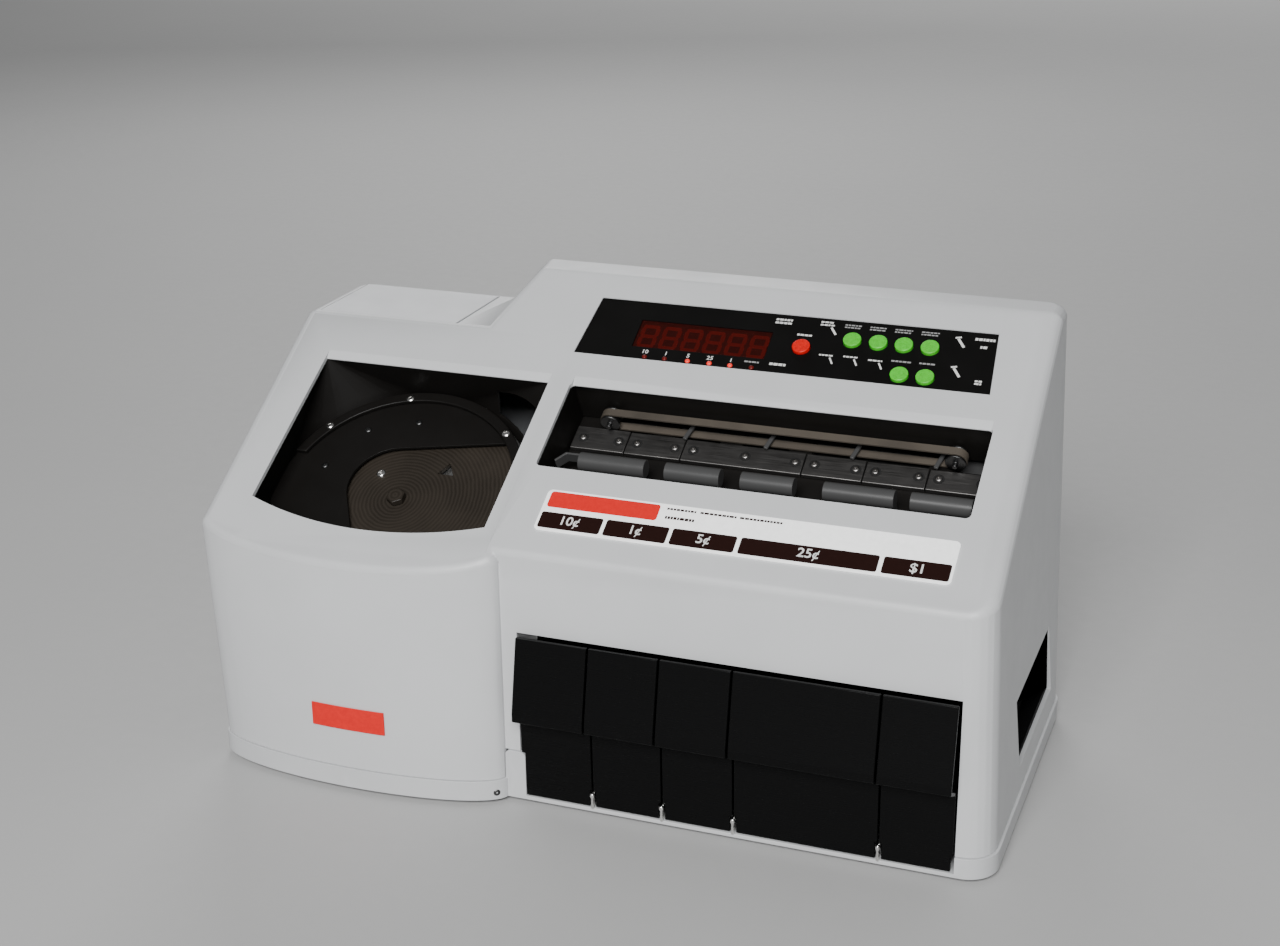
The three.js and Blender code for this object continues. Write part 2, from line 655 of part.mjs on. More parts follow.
function motorPlate() {
  const low = MOTOR_PLATE.top - MOTOR_PLATE.thick;
  const plate = solid(post(DISC.x, DISC.s, MOTOR_PLATE.r, low, MOTOR_PLATE.top, 64));
  const bore = solid(post(DISC.x, DISC.s, SHAFT_R + 2, low - 1, MOTOR_PLATE.top + 1));
  return piece('motor_plate', bareSteel(), plate.subtract(bore));
}

function discShaft() {
  const foot = GEARBOX.foot + 6;
  return piece('disc_shaft', bareSteel(), post(DISC.x, DISC.s, SHAFT_R, foot, DISC.top));
}

function discGearmotor() {
  const top = MOTOR_PLATE.top - MOTOR_PLATE.thick - GAP;
  const { half, foot } = GEARBOX;
  const square = [DISC.x - half, DISC.x + half, DISC.s - half, DISC.s + half];
  const gearbox = solid(raised(roundedRect(square, 5), foot, top, 3));
  const can = solid(post(DISC.x, DISC.s, 17, foot - 34, foot + 1));
  const bore = solid(post(DISC.x, DISC.s, SHAFT_R + GAP, GEARBOX.foot + 5, top + 1));
  return piece('disc_gearmotor', material(0x5c5e60, 0.45, 0.7), gearbox.add(can).subtract(bore));
}

// ---------------------------------------------------------------- sorting track (slope group)

const CHUTE_X = DRAWER_SPLITS.slice(0, -1).map((x, i) => [x + 4, DRAWER_SPLITS[i + 1] - 4]);
const LIPS = [[17.8, 58.8], [71.3, 104.6], [117.2, 148.4], [165.8, 206.6], [215.8, 250.5]];
const LIP_AXIS = [83, -17]; // s and n of the rounded lips over the chutes
const LIP_R = 5.5;
const SLOT = { lower: 121.5, upper: 136.5 }; // coins drop through the deck here

function trackDeck() {
  const { top, thick } = DECK;
  const plate = block(-2, 266, 85, 144, top - thick, top);
  const back = block(-2, 266, 142, 144, top - 0.5, top + 24);
  const slots = CHUTE_X.map(([x0, x1]) => block(x0 + 3, x1 - 3, SLOT.lower, SLOT.upper, top - 5, top + 5));
  return piece('track_deck', blackPlastic(), plate.add(back).subtract(union(...slots)));
}

// Sorting plates lie in a row on the deck, each held by two screws.
function sortPlates() {
  return PLATE_ENDS.slice(0, -1).map((x0, i) => {
    const x1 = PLATE_ENDS[i + 1];
    const upper = PLATE_UPPER - i * 0.4; // wider coins need a wider slot
    const body = box(x0 + GAP, x1 - GAP, PLATE_LOWER, upper, DECK.top + GAP, DECK.top + 3.3);
    return piece(`sort_plate_${i + 1}`, greyPlate(), body);
  });
}

const AXLE_R = 1.5;

function beltAxisHeight() {
  return DECK.top + BELT.lift + BELT.thick + BELT.pulleyR + GAP;
}

function stadium(r) {
  const shape = new THREE.Shape();
  shape.absarc(BELT.x1, 0, r, -Math.PI / 2, Math.PI / 2, false);
  shape.absarc(BELT.x0, 0, r, Math.PI / 2, 1.5 * Math.PI, false);
  return shape;
}

function transportBelt() {
  const inner = BELT.pulleyR + GAP;
  const loop = (r, y0, y1) => {
    const geometry = raised(stadium(r), y0, y1, 10);
    geometry.rotateX(Math.PI / 2);
    geometry.translate(0, TRACK_LINE, beltAxisHeight());
    return solid(geometry);
  };
  const half = BELT.width / 2;
  const band = loop(inner + BELT.thick, -half, half).subtract(loop(inner, -half - 1, half + 1));
  return piece('transport_belt', material(0x6e5a42, 0.7), band);
}

function beltPulley(name, x) {
  const half = 4.2; // wider than the belt
  const z = beltAxisHeight();
  const wheel = solid(rod(x, z, BELT.pulleyR, TRACK_LINE - half, TRACK_LINE + half));
  const flangeR = BELT.pulleyR + BELT.thick;
  const inside = BELT.width / 2 + GAP;
  const flanges = [[-half, -inside], [inside, half]].map(([y0, y1]) =>
    solid(rod(x, z, flangeR, TRACK_LINE + y0, TRACK_LINE + y1)));
  const axle = solid(rod(x, z, AXLE_R, TRACK_LINE - half - 3, TRACK_LINE + half + 11));
  return piece(name, bareSteel(), union(wheel, axle, ...flanges));
}

// The beam behind the belt carries both pulley axles.
function beltBeam() {
  const y0 = TRACK_LINE + 6;
  const z = beltAxisHeight();
  const beam = block(10, 244, y0, y0 + 6, z - 4, z + 4);
  const bores = [BELT.x0, BELT.x1].map((x) => solid(rod(x, z, AXLE_R + 0.1, y0 - 2, y0 + 12)));
  return piece('belt_beam', blackPlastic(), beam.subtract(union(...bores)));
}

function beltMotor() {
  const y0 = TRACK_LINE + BELT.width / 2 + 20;
  const can = rod(BELT.x1, beltAxisHeight(), 14, y0, y0 + 36, 28);
  return piece('belt_motor', material(0x5c5e60, 0.45, 0.7), can);
}

function throatInSlope(body) {
  return toSlope(geometryOf(body));
}

// A chute hangs from the track over its drawer; its rounded lip shows along the window.
function coinChute(index) {
  const [x0, x1] = CHUTE_X[index];
  const wall = 1.6;
  const front = 42;
  const back = 138;
  const foot = DRAWER_TOP + 5;
  const high = 260;
  const throat = block(x0 + wall, x1 - wall, front + wall, back - wall, foot - 1, high);
  const under = toSlope(box(x0, x1, front, back, foot, high));
  const tube = under.subtract(throatInSlope(throat));
  const aboveDeck = block(-400, 400, -400, 400, DECK.top - DECK.thick - GAP, 400);
  // The lip stands on a web, and the web on a bar across the chute, under the deck.
  const [lip0, lip1] = LIPS[index];
  const [lipY, lipZ] = LIP_AXIS;
  const barTop = DECK.top - DECK.thick - GAP;
  const lip = solid(roller(lipY, lipZ, LIP_R, lip0, lip1));
  const web = block(Math.max(lip0, x0), Math.min(lip1, x1), lipY - 1.5, lipY + 1.5, barTop - 1, lipZ);
  const bar = block(x0, x1, lipY - 1.5, lipY + 1.5, barTop - 10, barTop);
  const body = union(tube.subtract(aboveDeck), lip, web, bar);
  return piece(`coin_chute_${index + 1}`, material(0x8e8e8c, 0.35), body);
}

// Two upright steel plates carry the deck at its ends.
function sidePlate(name, x) {
  const profile = [[60, PAN_FLOOR + GAP], [205, PAN_FLOOR + GAP], [205, 200], [60, 200]];
  const plate = toSlope(alongX(profile, x, x + 1.5));
  const above = block(-400, 400, -400, 400, DECK.top - DECK.thick - GAP, 400);
  return piece(name, bareSteel(), plate.subtract(above));
}

// ---------------------------------------------------------------- control panel (slope group)

const KEY_PLACES = [
  ['stop_button', ...RED_BUTTON],
  ...TOP_KEYS.map((x, i) => [`top_key_${i + 1}`, x, TOP_KEYS_S]),
  ...LOWER_KEYS.map((x, i) => [`lower_key_${i + 1}`, x, LOWER_KEYS_S]),
];
const PANEL_BACK = PANEL_SEAT + GAP;
const PANEL_FACE = -GAP;
const KEY_TOP = 1.6;

function controlPanel() {
  const plate = solid(raised(panelShape(0), PANEL_BACK, PANEL_FACE));
  const window = block(...DISPLAY, -10, 10);
  const holes = KEY_PLACES.map(([, x, s]) => solid(post(x, s, BUTTON_R + BUTTON_TRAVEL_GAP, -10, 10, 28)));
  return piece('control_panel', panelPlastic(), plate.subtract(union(window, ...holes)));
}

function displayWindow() {
  const [x0, x1, s0, s1] = DISPLAY;
  const lens = box(x0 + GAP, x1 - GAP, s0 + GAP, s1 - GAP, PANEL_BACK - 1.2, PANEL_FACE - 0.2);
  return piece('display_window', material(0x340a08, 0.2), lens);
}

function keyButton([name, x, s], index) {
  const cap = solid(post(x, s, BUTTON_R, PANEL_SEAT - 3, KEY_TOP, 28));
  const color = index === 0 ? 0xe8251f : 0x5fd04c;
  return piece(name, material(color, 0.4), cap);
}

const BOARD_TOP = -10;

function displayModule() {
  const [x0, x1, s0, s1] = DISPLAY;
  const body = box(x0 + 1, x1 - 1, s0 + 1, s1 - 1, BOARD_TOP + GAP, PANEL_BACK - 1.5);
  return piece('display_module', material(0x191113, 0.5), body);
}

function controlBoard() {
  const plate = block(4, 236, 158.5, 193, BOARD_TOP - 1.6, BOARD_TOP);
  const switchTop = PANEL_SEAT - 5.3;
  const switches = KEY_PLACES.map(([, x, s]) => solid(post(x, s, 2.4, BOARD_TOP - 0.5, switchTop, 12)));
  return piece('control_board', circuitGreen(), union(plate, ...switches));
}

function labelPlate() {
  return piece('label_plate', material(0xf1f2f0, 0.5), raised(roundedRect(LABEL, 3), GAP, GAP + 0.6, 5));
}

// ---------------------------------------------------------------- power and electronics

function powerInlet() {
  const [y0] = REAR_PANEL_Y;
  const { x0, x1, z0, z1 } = SOCKET;
  const flange = block(x0 - 4, x1 + 4, REAR_PANEL_Y[1] + GAP, DEPTH + 0.6, z0 - 3, z1 + 3);
  const body = block(x0 + GAP, x1 - GAP, y0 - 18, DEPTH, z0 + GAP, z1 - GAP);
  const cavity = block(x0 + 3, x1 - 3, y0 - 14, DEPTH + 5, z0 + 4, z1 - 4);
  const pins = [-7, 0, 7].map((dx, i) => {
    const x = (x0 + x1) / 2 + dx;
    const z = (z0 + z1) / 2 + (i === 1 ? 2 : -1);
    return block(x - 1, x + 1, y0 - 15, DEPTH - 4, z - 2, z + 2);
  });
  return piece('power_inlet', blackPlastic(), union(flange.add(body).subtract(cavity), ...pins));
}

const ROCKER_TILT = THREE.MathUtils.degToRad(-8); // stands in its off position
const ROCKER_PIVOT = { y: DEPTH - 3, z: (ROCKER_HOLE.z0 + ROCKER_HOLE.z1) / 2 };

function powerRocker() {
  const { x0, x1 } = ROCKER_HOLE;
  const { y, z } = ROCKER_PIVOT;
  const profile = [[-4, -6], [2.4, -9], [3, 0], [2.4, 9], [-4, 6]];
  const wedge = alongX(profile, x0 + 1, x1 - 1);
  wedge.rotateX(ROCKER_TILT);
  wedge.translate(0, y, z);
  return piece('power_rocker', blackPlastic(), wedge);
}

function mainBoard() {
  const y = DEPTH - 12;
  const board = block(-60, 130, y, y + 1.6, 30, 130);
  const chips = [[-30, 60, 22], [20, 90, 30], [70, 55, 18], [100, 100, 14]].map(
    ([x, z, w]) => block(x, x + w, y - 5, y + 0.5, z, z + w * 0.7));
  return piece('main_board', circuitGreen(), union(board, ...chips));
}

function powerTransformer() {
  const core = block(-150, -96, 150, 196, PAN_FLOOR + GAP, 52);
  const winding = block(-142, -104, 140, 206, 12, 44);
  return piece('power_transformer', material(0x4a4a48, 0.5, 0.6), core.add(winding));
}

// ---------------------------------------------------------------- assembly

function slopeGroup() {
  const group = new THREE.Group();
  group.position.z = CREST_Z;
  group.rotation.x = SLOPE_ANGLE;
  group.add(
    hopperBowl(), discShroud(), shroudRing(), hopperDisc(), discNut(), discShaft(),
    motorPlate(), discGearmotor(), trackDeck(), ...sortPlates(), transportBelt(),
    beltPulley('drive_pulley', BELT.x1), beltPulley('idler_pulley', BELT.x0), beltBeam(), beltMotor(),
    ...CHUTE_X.map((_, i) => coinChute(i)),
    sidePlate('side_plate_left', SIDE_PLATE_X[0]), sidePlate('side_plate_right', SIDE_PLATE_X[1]),
    controlPanel(), displayWindow(), displayModule(), controlBoard(), labelPlate(),
    ...KEY_PLACES.map(keyButton),
  );
  return group;
}

function machineGroup() {
  const group = new THREE.Group();
  // The object's origin is under the middle of its outer box, on the surface it stands on.
  group.position.set(ORIGIN_X, -(DEPTH - BULGE) / 2, FOOT_HEIGHT);
  group.add(
    topCover(), basePan(), rearPanel(), printerBayCover(), frontBadge(),
    gripPocket('grip_right', 1), gripPocket('grip_left', -1), ...rubberFeet(),
    ...CHUTE_X.map((_, i) => drawer(i)), drawerGuides(),
    powerInlet(), powerRocker(), mainBoard(), powerTransformer(), slopeGroup(),
  );
  return group;
}

const coinSorter = new THREE.Group();
coinSorter.name = 'coin_sorting_machine';
coinSorter.add(machineGroup());

export default coinSorter;
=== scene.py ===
"""Looks of the coin sorting machine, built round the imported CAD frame. Blender 4.5, metres."""
import json
import math
import random

import bmesh
import bpy
from mathutils import Matrix, Vector

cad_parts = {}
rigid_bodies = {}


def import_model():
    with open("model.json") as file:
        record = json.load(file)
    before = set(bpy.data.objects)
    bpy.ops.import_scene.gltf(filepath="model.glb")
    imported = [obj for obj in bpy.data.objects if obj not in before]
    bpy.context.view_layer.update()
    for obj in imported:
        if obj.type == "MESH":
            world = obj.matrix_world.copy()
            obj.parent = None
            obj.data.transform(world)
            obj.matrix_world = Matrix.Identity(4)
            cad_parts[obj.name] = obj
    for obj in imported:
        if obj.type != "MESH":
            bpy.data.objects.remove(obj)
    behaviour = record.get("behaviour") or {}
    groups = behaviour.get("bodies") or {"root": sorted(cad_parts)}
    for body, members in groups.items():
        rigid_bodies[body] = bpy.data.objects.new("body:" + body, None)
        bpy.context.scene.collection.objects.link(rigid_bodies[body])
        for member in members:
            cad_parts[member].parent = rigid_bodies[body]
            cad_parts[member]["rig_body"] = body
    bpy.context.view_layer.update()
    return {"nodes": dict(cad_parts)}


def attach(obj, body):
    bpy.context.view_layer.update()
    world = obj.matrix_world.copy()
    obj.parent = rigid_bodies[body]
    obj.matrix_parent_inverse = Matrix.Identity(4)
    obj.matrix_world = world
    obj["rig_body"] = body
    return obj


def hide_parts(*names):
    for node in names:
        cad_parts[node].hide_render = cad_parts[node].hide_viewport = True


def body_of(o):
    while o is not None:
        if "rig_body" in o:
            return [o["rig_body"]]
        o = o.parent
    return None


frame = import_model()
NODES = frame["nodes"]
random.seed(7)

# ------------------------------------------------------------------ sizes, in millimetres

MM = 0.001
SEAM_X, FRONT_Y, SKIRT_Z = -45.8, -97.8, 3.0  # the CAD's machine group, seen from the row's origin
HOPPER_W, SORTER_W, DEPTH = 185.2, 285.3, 217.6
CREST_Z, HOPPER_TOP_Z = 155.7, 238.9
SLOPE_ANGLE = math.radians(30.4)
SKIRT_H = 12.5

# The machine group's axes, and the sloped face's: x along it, y up it, z out of it.
MACHINE = Matrix.Translation(Vector((SEAM_X, FRONT_Y, SKIRT_Z)) * MM) @ Matrix.Diagonal((MM, MM, MM, 1))
SLOPE = MACHINE @ Matrix.Translation((0, 0, CREST_Z)) @ Matrix.Rotation(SLOPE_ANGLE, 4, "X")
TO_MACHINE = MACHINE.inverted()
TO_SLOPE = SLOPE.inverted()

# Places on the slope are (x, s), with s measured up it, and heights are n, measured out of it.
DISC_X, DISC_S, DISC_TOP = -94.0, 50.0, -33.5
DECK_TOP = -34.0
DISPLAY = (28.0, 111.0, 162.0, 184.0)
LABEL_FACE = 0.9
PANEL_FACE = -0.3
DRAWER_SPLITS = (10.6, 54.7, 97.0, 139.5, 223.0, 264.9)
PLATE_ENDS = (0.5, 35.0, 70.5, 144.6, 180.8, 217.6, 254.0)
GREEN_KEYS = [f"top_key_{index}" for index in range(1, 5)] + [f"lower_key_{index}" for index in (1, 2)]


# ------------------------------------------------------------------ material nodes

class Nodes:
    """A material's node tree with short calls for the nodes used here."""

    def __init__(self, name):
        self.material = bpy.data.materials.new(name)
        self.material.use_nodes = True
        self.tree = self.material.node_tree
        self.shader = self.tree.nodes["Principled BSDF"]
        self.place = self.add("ShaderNodeTexCoord").outputs["Object"]

    def add(self, kind, **settings):
        node = self.tree.nodes.new(kind)
        for key, value in settings.items():
            setattr(node, key, value)
        return node

    def link(self, source, target):
        self.tree.links.new(source, target)

    def set(self, **values):
        for key, value in values.items():
            self.shader.inputs[key.replace("_", " ")].default_value = value

    def stretched(self, scale):
        """Object coordinates with each axis scaled."""
        node = self.add("ShaderNodeMapping")
        node.inputs["Scale"].default_value = scale
        self.link(self.place, node.inputs["Vector"])
        return node.outputs["Vector"]

    def noise(self, scale, detail=3.0, roughness=0.55, vector=None):
        node = self.add("ShaderNodeTexNoise")
        node.inputs["Scale"].default_value = scale
        node.inputs["Detail"].default_value = detail
        node.inputs["Roughness"].default_value = roughness
        self.link(vector or self.place, node.inputs["Vector"])
        return node.outputs["Fac"]

    def cells(self, scale, feature="F1"):
        node = self.add("ShaderNodeTexVoronoi", feature=feature)
        node.inputs["Scale"].default_value = scale
        self.link(self.place, node.inputs["Vector"])
        return node.outputs["Distance"]

    def remap(self, value, low, high, new_low, new_high):
        node = self.add("ShaderNodeMapRange")
        limits = {"From Min": low, "From Max": high, "To Min": new_low, "To Max": new_high}
        for key, number in limits.items():
            node.inputs[key].default_value = number
        self.link(value, node.inputs["Value"])
        return node.outputs["Result"]

    def math(self, operation, a, b):
        node = self.add("ShaderNodeMath", operation=operation)
        for socket, value in zip(node.inputs, (a, b)):
            if isinstance(value, (int, float)):
                socket.default_value = value
            else:
                self.link(value, socket)
        return node.outputs[0]

    def blend(self, factor, first, second):
        """A colour mix; first and second are colours or sockets."""
        node = self.add("ShaderNodeMix", data_type="RGBA")
        self.link(factor, node.inputs["Factor"])
        for socket, value in zip((node.inputs[6], node.inputs[7]), (first, second)):
            if isinstance(value, tuple):
                socket.default_value = (*value, 1.0)
            else:
                self.link(value, socket)
        return node.outputs[2]

    def edges(self, low=0.52, high=0.60):
        """Grows towards 1 on outside edges and corners."""
        pointiness = self.add("ShaderNodeNewGeometry").outputs["Pointiness"]
        return self.remap(pointiness, low, high, 0.0, 1.0)

    def color(self, socket):
        self.link(socket, self.shader.inputs["Base Color"])

    def roughness(self, socket):
        self.link(socket, self.shader.inputs["Roughness"])

    def bump(self, height, distance, strength=1.0):
        node = self.add("ShaderNodeBump")
        node.inputs["Strength"].default_value = strength
        node.inputs["Distance"].default_value = distance
        self.link(height, node.inputs["Height"])
        previous = self.shader.inputs["Normal"].links
        if previous:
            self.link(previous[0].from_socket, node.inputs["Normal"])
        self.link(node.outputs["Normal"], self.shader.inputs["Normal"])


def scaled(color, factor):
    return tuple(channel * factor for channel in color)


def moulded_plastic(name, color, rough=0.45, grain=2600.0, grain_depth=0.00002, spread=0.06, specular=0.5):
    """Moulded plastic: a fine spark-eroded grain, faint clouding and slightly paler worn edges."""
    n = Nodes(name)
    clouds = n.remap(n.noise(14.0, 4.0), 0.3, 0.7, 0.0, 1.0)
    base = n.blend(clouds, scaled(color, 1 - spread), scaled(color, 1 + spread * 0.5))
    n.color(n.blend(n.math("MULTIPLY", n.edges(), 0.35), base, scaled(color, 1.12)))
    n.roughness(n.remap(n.noise(60.0, 5.0), 0.3, 0.7, rough - 0.05, rough + 0.06))
    n.set(Specular_IOR_Level=specular)
    n.bump(n.noise(grain, 2.0, 0.6), grain_depth, 0.35)
    return n.material


def gloss_black(name, color=(0.006, 0.006, 0.0063), rough=0.2, grain=900.0, specular=0.2):
    """Glossy black moulding with hairline scuffs and a trace of dust."""
    n = Nodes(name)
    dust = n.remap(n.noise(420.0, 6.0, 0.7), 0.62, 0.80, 0.0, 0.20)
    n.color(n.blend(dust, color, scaled(color, 4.0)))
    n.set(Specular_IOR_Level=specular)
    scuffs = n.noise(1.0, 5.0, 0.6, n.stretched((30.0, 30.0, 900.0)))
    n.roughness(n.remap(scuffs, 0.35, 0.75, rough, rough + 0.16))
    n.bump(n.noise(grain, 2.0), 0.00001, 0.25)
    n.bump(n.noise(22.0, 2.0), 0.0004, 0.12)
    return n.material


def brushed_metal(name, color, rough=0.32, along=(1400.0, 40.0, 1400.0)):
    """Sheet metal with a drawn grain and small bright and dull patches."""
    n = Nodes(name)
    grain = n.noise(1.0, 6.0, 0.65, n.stretched(along))
    patches = n.remap(n.noise(90.0, 4.0), 0.3, 0.7, 0.0, 1.0)
    n.color(n.blend(patches, scaled(color, 0.82), scaled(color, 1.08)))
    n.roughness(n.remap(grain, 0.3, 0.7, rough - 0.08, rough + 0.14))
    n.set(Metallic=1.0)
    n.bump(grain, 0.00002, 0.3)
    return n.material


def rubber(name, color=(0.018, 0.018, 0.018)):
    n = Nodes(name)
    dust = n.remap(n.noise(240.0, 5.0, 0.7), 0.45, 0.8, 0.0, 0.6)
    n.color(n.blend(dust, color, (0.06, 0.058, 0.055)))
    n.roughness(n.remap(n.noise(500.0), 0.3, 0.7, 0.75, 0.92))
    n.bump(n.noise(1800.0, 3.0), 0.00005, 0.5)
    return n.material


def printed_ink(name, color, rough=0.42, specular=0.2, painted_glow=0.0):
    """Screen-printed ink: slight unevenness and a fine dry grain; its glow is painted light, an emission
    that makes the ink brighter than the lamps light it.
    """
    n = Nodes(name)
    uneven = n.remap(n.noise(350.0, 5.0, 0.7), 0.3, 0.7, 0.0, 1.0)
    n.color(n.blend(uneven, scaled(color, 0.90), scaled(color, 1.06)))
    n.roughness(n.remap(n.noise(1500.0), 0.3, 0.7, rough - 0.05, rough + 0.08))
    n.set(Specular_IOR_Level=specular, Emission_Color=(1, 1, 1, 1), Emission_Strength=painted_glow)
    n.bump(n.noise(4200.0, 1.0), 0.000008, 0.4)
    return n.material


def key_plastic(name, color):
    """Translucent moulded key: saturated body, soft gloss, paler where fingers polish it."""
    n = Nodes(name)
    polish = n.remap(n.noise(500.0, 3.0), 0.35, 0.7, 0.0, 1.0)
    n.color(n.blend(polish, scaled(color, 0.86), scaled(color, 1.08)))
    n.roughness(n.remap(n.noise(900.0), 0.3, 0.7, 0.22, 0.38))
    n.set(Subsurface_Weight=0.15, Subsurface_Scale=0.002, Specular_IOR_Level=0.25)
    n.set(Coat_Weight=0.06, Coat_Roughness=0.15)
    n.bump(n.noise(2600.0), 0.00001, 0.3)
    return n.material


def lit_plastic(name, color, strength):
    """A lit indicator or digit segment, a little hotter in its middle grain."""
    n = Nodes(name)
    grain = n.remap(n.noise(1200.0), 0.3, 0.7, 0.0, 1.0)
    shade = n.blend(grain, scaled(color, 0.8), color)
    n.color(shade)
    n.link(shade, n.shader.inputs["Emission Color"])
    n.set(Emission_Strength=strength, Roughness=0.35)
    return n.material


def tinted_window(name, color=(0.030, 0.004, 0.003)):
    """Smoked red acrylic over the digits, with faint swirls from wiping."""
    n = Nodes(name)
    swirl = n.noise(180.0, 6.0, 0.7)
    n.color(n.blend(n.remap(swirl, 0.4, 0.7, 0.0, 1.0), color, scaled(color, 1.3)))
    n.roughness(n.remap(swirl, 0.3, 0.7, 0.06, 0.16))
    n.set(Alpha=0.62, Specular_IOR_Level=0.18)
    n.bump(n.noise(60.0), 0.0001, 0.05)
    return n.material


def disc_plastic(name, color=(0.024, 0.0195, 0.0150)):
    """The disc's brown laminate: turning marks left by coins, and darker handled patches."""
    n = Nodes(name)
    centre = SLOPE @ Vector((DISC_X, DISC_S, DISC_TOP))
    shift = n.add("ShaderNodeMapping")
    shift.inputs["Location"].default_value = -centre
    n.link(n.place, shift.inputs["Vector"])
    turn = n.add("ShaderNodeMapping")
    turn.inputs["Rotation"].default_value = (-SLOPE_ANGLE, 0, 0)
    n.link(shift.outputs["Vector"], turn.inputs["Vector"])
    rings = n.add("ShaderNodeTexWave", wave_type="RINGS", rings_direction="Z")
    rings.inputs["Scale"].default_value = 130.0
    rings.inputs["Distortion"].default_value = 2.2
    rings.inputs["Detail"].default_value = 4.0
    n.link(turn.outputs["Vector"], rings.inputs["Vector"])
    wear = n.remap(rings.outputs["Fac"], 0.0, 1.0, 0.0, 0.35)
    stains = n.remap(n.noise(35.0, 5.0), 0.35, 0.7, 0.0, 1.0)
    base = n.blend(stains, scaled(color, 0.75), scaled(color, 1.15))
    n.color(n.blend(wear, base, scaled(color, 1.7)))
    n.roughness(n.remap(rings.outputs["Fac"], 0.0, 1.0, 0.34, 0.54))
    n.set(Specular_IOR_Level=0.22)
    n.bump(rings.outputs["Fac"], 0.00003, 0.35)
    return n.material


def belt_rubber(name, color=(0.075, 0.062, 0.048)):
    """Tan rubber belt: woven backing grain and scattered dark patches of coin rub."""
    n = Nodes(name)
    weave = n.noise(1.0, 3.0, 0.6, n.stretched((2600.0, 700.0, 2600.0)))
    rub = n.remap(n.noise(28.0, 5.0), 0.4, 0.7, 0.0, 0.7)
    n.color(n.blend(rub, color, scaled(color, 0.45)))
    n.roughness(n.remap(weave, 0.3, 0.7, 0.55, 0.75))
    n.bump(weave, 0.00006, 0.5)
    return n.material


def circuit_board(name, color=(0.012, 0.085, 0.035)):
    """Green solder mask with paler track clusters under it."""
    n = Nodes(name)
    tracks = n.remap(n.cells(420.0, "DISTANCE_TO_EDGE"), 0.0, 0.12, 1.0, 0.0)
    n.color(n.blend(n.math("MULTIPLY", tracks, 0.7), color, scaled(color, 2.2)))
    n.roughness(n.remap(n.noise(300.0), 0.3, 0.7, 0.28, 0.42))
    n.bump(tracks, 0.00003, 0.4)
    return n.material


def floor_material(name):
    n = Nodes(name)
    n.color(n.blend(n.noise(3.0, 4.0), (0.42, 0.42, 0.42), (0.45, 0.45, 0.445)))
    n.roughness(n.remap(n.noise(80.0), 0.3, 0.7, 0.55, 0.7))
    return n.material


CASE = moulded_plastic("case_plastic_look", (0.535, 0.543, 0.550), 0.42)
BAY_CASE = moulded_plastic("bay_plastic_look", (0.515, 0.524, 0.540), 0.42)
PANEL = moulded_plastic("panel_overlay_look", (0.0040, 0.0038, 0.0036), 0.42, 3800.0, 0.00001, 0.2, 0.12)
DRAWER = gloss_black("drawer_look", (0.0026, 0.0026, 0.0027), 0.24, specular=0.10)
GLOSS = gloss_black("black_gloss_look", rough=0.16)
INNER = moulded_plastic("inner_black_look", (0.0075, 0.0068, 0.0062), 0.42, 1800.0, 0.00003, 0.25, 0.16)
STEEL = brushed_metal("steel_look", (0.56, 0.56, 0.55))
BRIGHT = brushed_metal("bright_steel_look", (0.80, 0.79, 0.77), 0.20, (900.0, 900.0, 900.0))
DARK_STEEL = brushed_metal("dark_steel_look", (0.10, 0.10, 0.10), 0.38)
WORN_STEEL = brushed_metal("worn_steel_look", (0.28, 0.27, 0.26), 0.36)
ZINC = brushed_metal("motor_look", (0.36, 0.36, 0.37), 0.36, (60.0, 1500.0, 1500.0))
PLATE = brushed_metal("sort_plate_look", (0.17, 0.165, 0.16), 0.42, (50.0, 1600.0, 1600.0))
SHEET = moulded_plastic("rear_sheet_look", (0.40, 0.41, 0.43), 0.5, 1200.0, 0.00004)
LAMINATE = moulded_plastic("transformer_look", (0.09, 0.09, 0.09), 0.45)
CHUTE = moulded_plastic("chute_look", (0.055, 0.055, 0.055), 0.36, 2200.0, 0.00001, 0.1, 0.3)
RUBBER = rubber("rubber_look")
DISC = disc_plastic("disc_look")
BELT = belt_rubber("belt_look")
BOARD = circuit_board("circuit_look")
WINDOW = tinted_window("display_window_look")
DISPLAY_DARK = moulded_plastic("display_body_look", (0.020, 0.006, 0.005), 0.5)
# The label's white ink glows: painted light that makes it brighter than the lamps light it.
GLOWING_LABEL_WHITE = printed_ink("label_white_painted_glow_look", (0.93, 0.94, 0.93), 0.38, painted_glow=0.45)
INK_BLACK = printed_ink("ink_black_look", (0.014, 0.0042, 0.0030), 0.36)
INK_RED = printed_ink("ink_red_look", (0.68, 0.016, 0.014), 0.36)
INK_WHITE = printed_ink("ink_white_look", (0.72, 0.72, 0.70))
INK_GREY = printed_ink("ink_grey_look", (0.30, 0.30, 0.30))
KEY_RED = key_plastic("key_red_look", (0.66, 0.008, 0.005))
KEY_GREEN = key_plastic("key_green_look", (0.07, 0.56, 0.030))
DIGIT = lit_plastic("digit_look", (0.60, 0.02, 0.012), 0.35)
LED_ON = lit_plastic("led_on_look", (0.85, 0.035, 0.02), 0.7)
LED_OFF = moulded_plastic("led_off_look", (0.12, 0.008, 0.006), 0.3, specular=0.25)
# Flat black for the discs under the plate screws: painted shade that stands for the dark of the holes round
# them.
HOLE_SHADE = moulded_plastic("painted_hole_shade_look", (0.004, 0.004, 0.004), 0.7)


# ------------------------------------------------------------------ mesh helpers

def new_piece(name, mesh, body, material, replaces=()):
    """An object from a mesh that is already in the row's frame, riding on a body."""
    piece = bpy.data.objects.new(name, mesh)
    bpy.context.scene.collection.objects.link(piece)
    mesh.materials.clear()
    mesh.materials.append(material)
    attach(piece, body)
    if replaces:
        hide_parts(*replaces)
    return piece


def shade(mesh, angle=32.0):
    for polygon in mesh.polygons:
        polygon.use_smooth = True
    mesh.set_sharp_from_angle(angle=math.radians(angle))


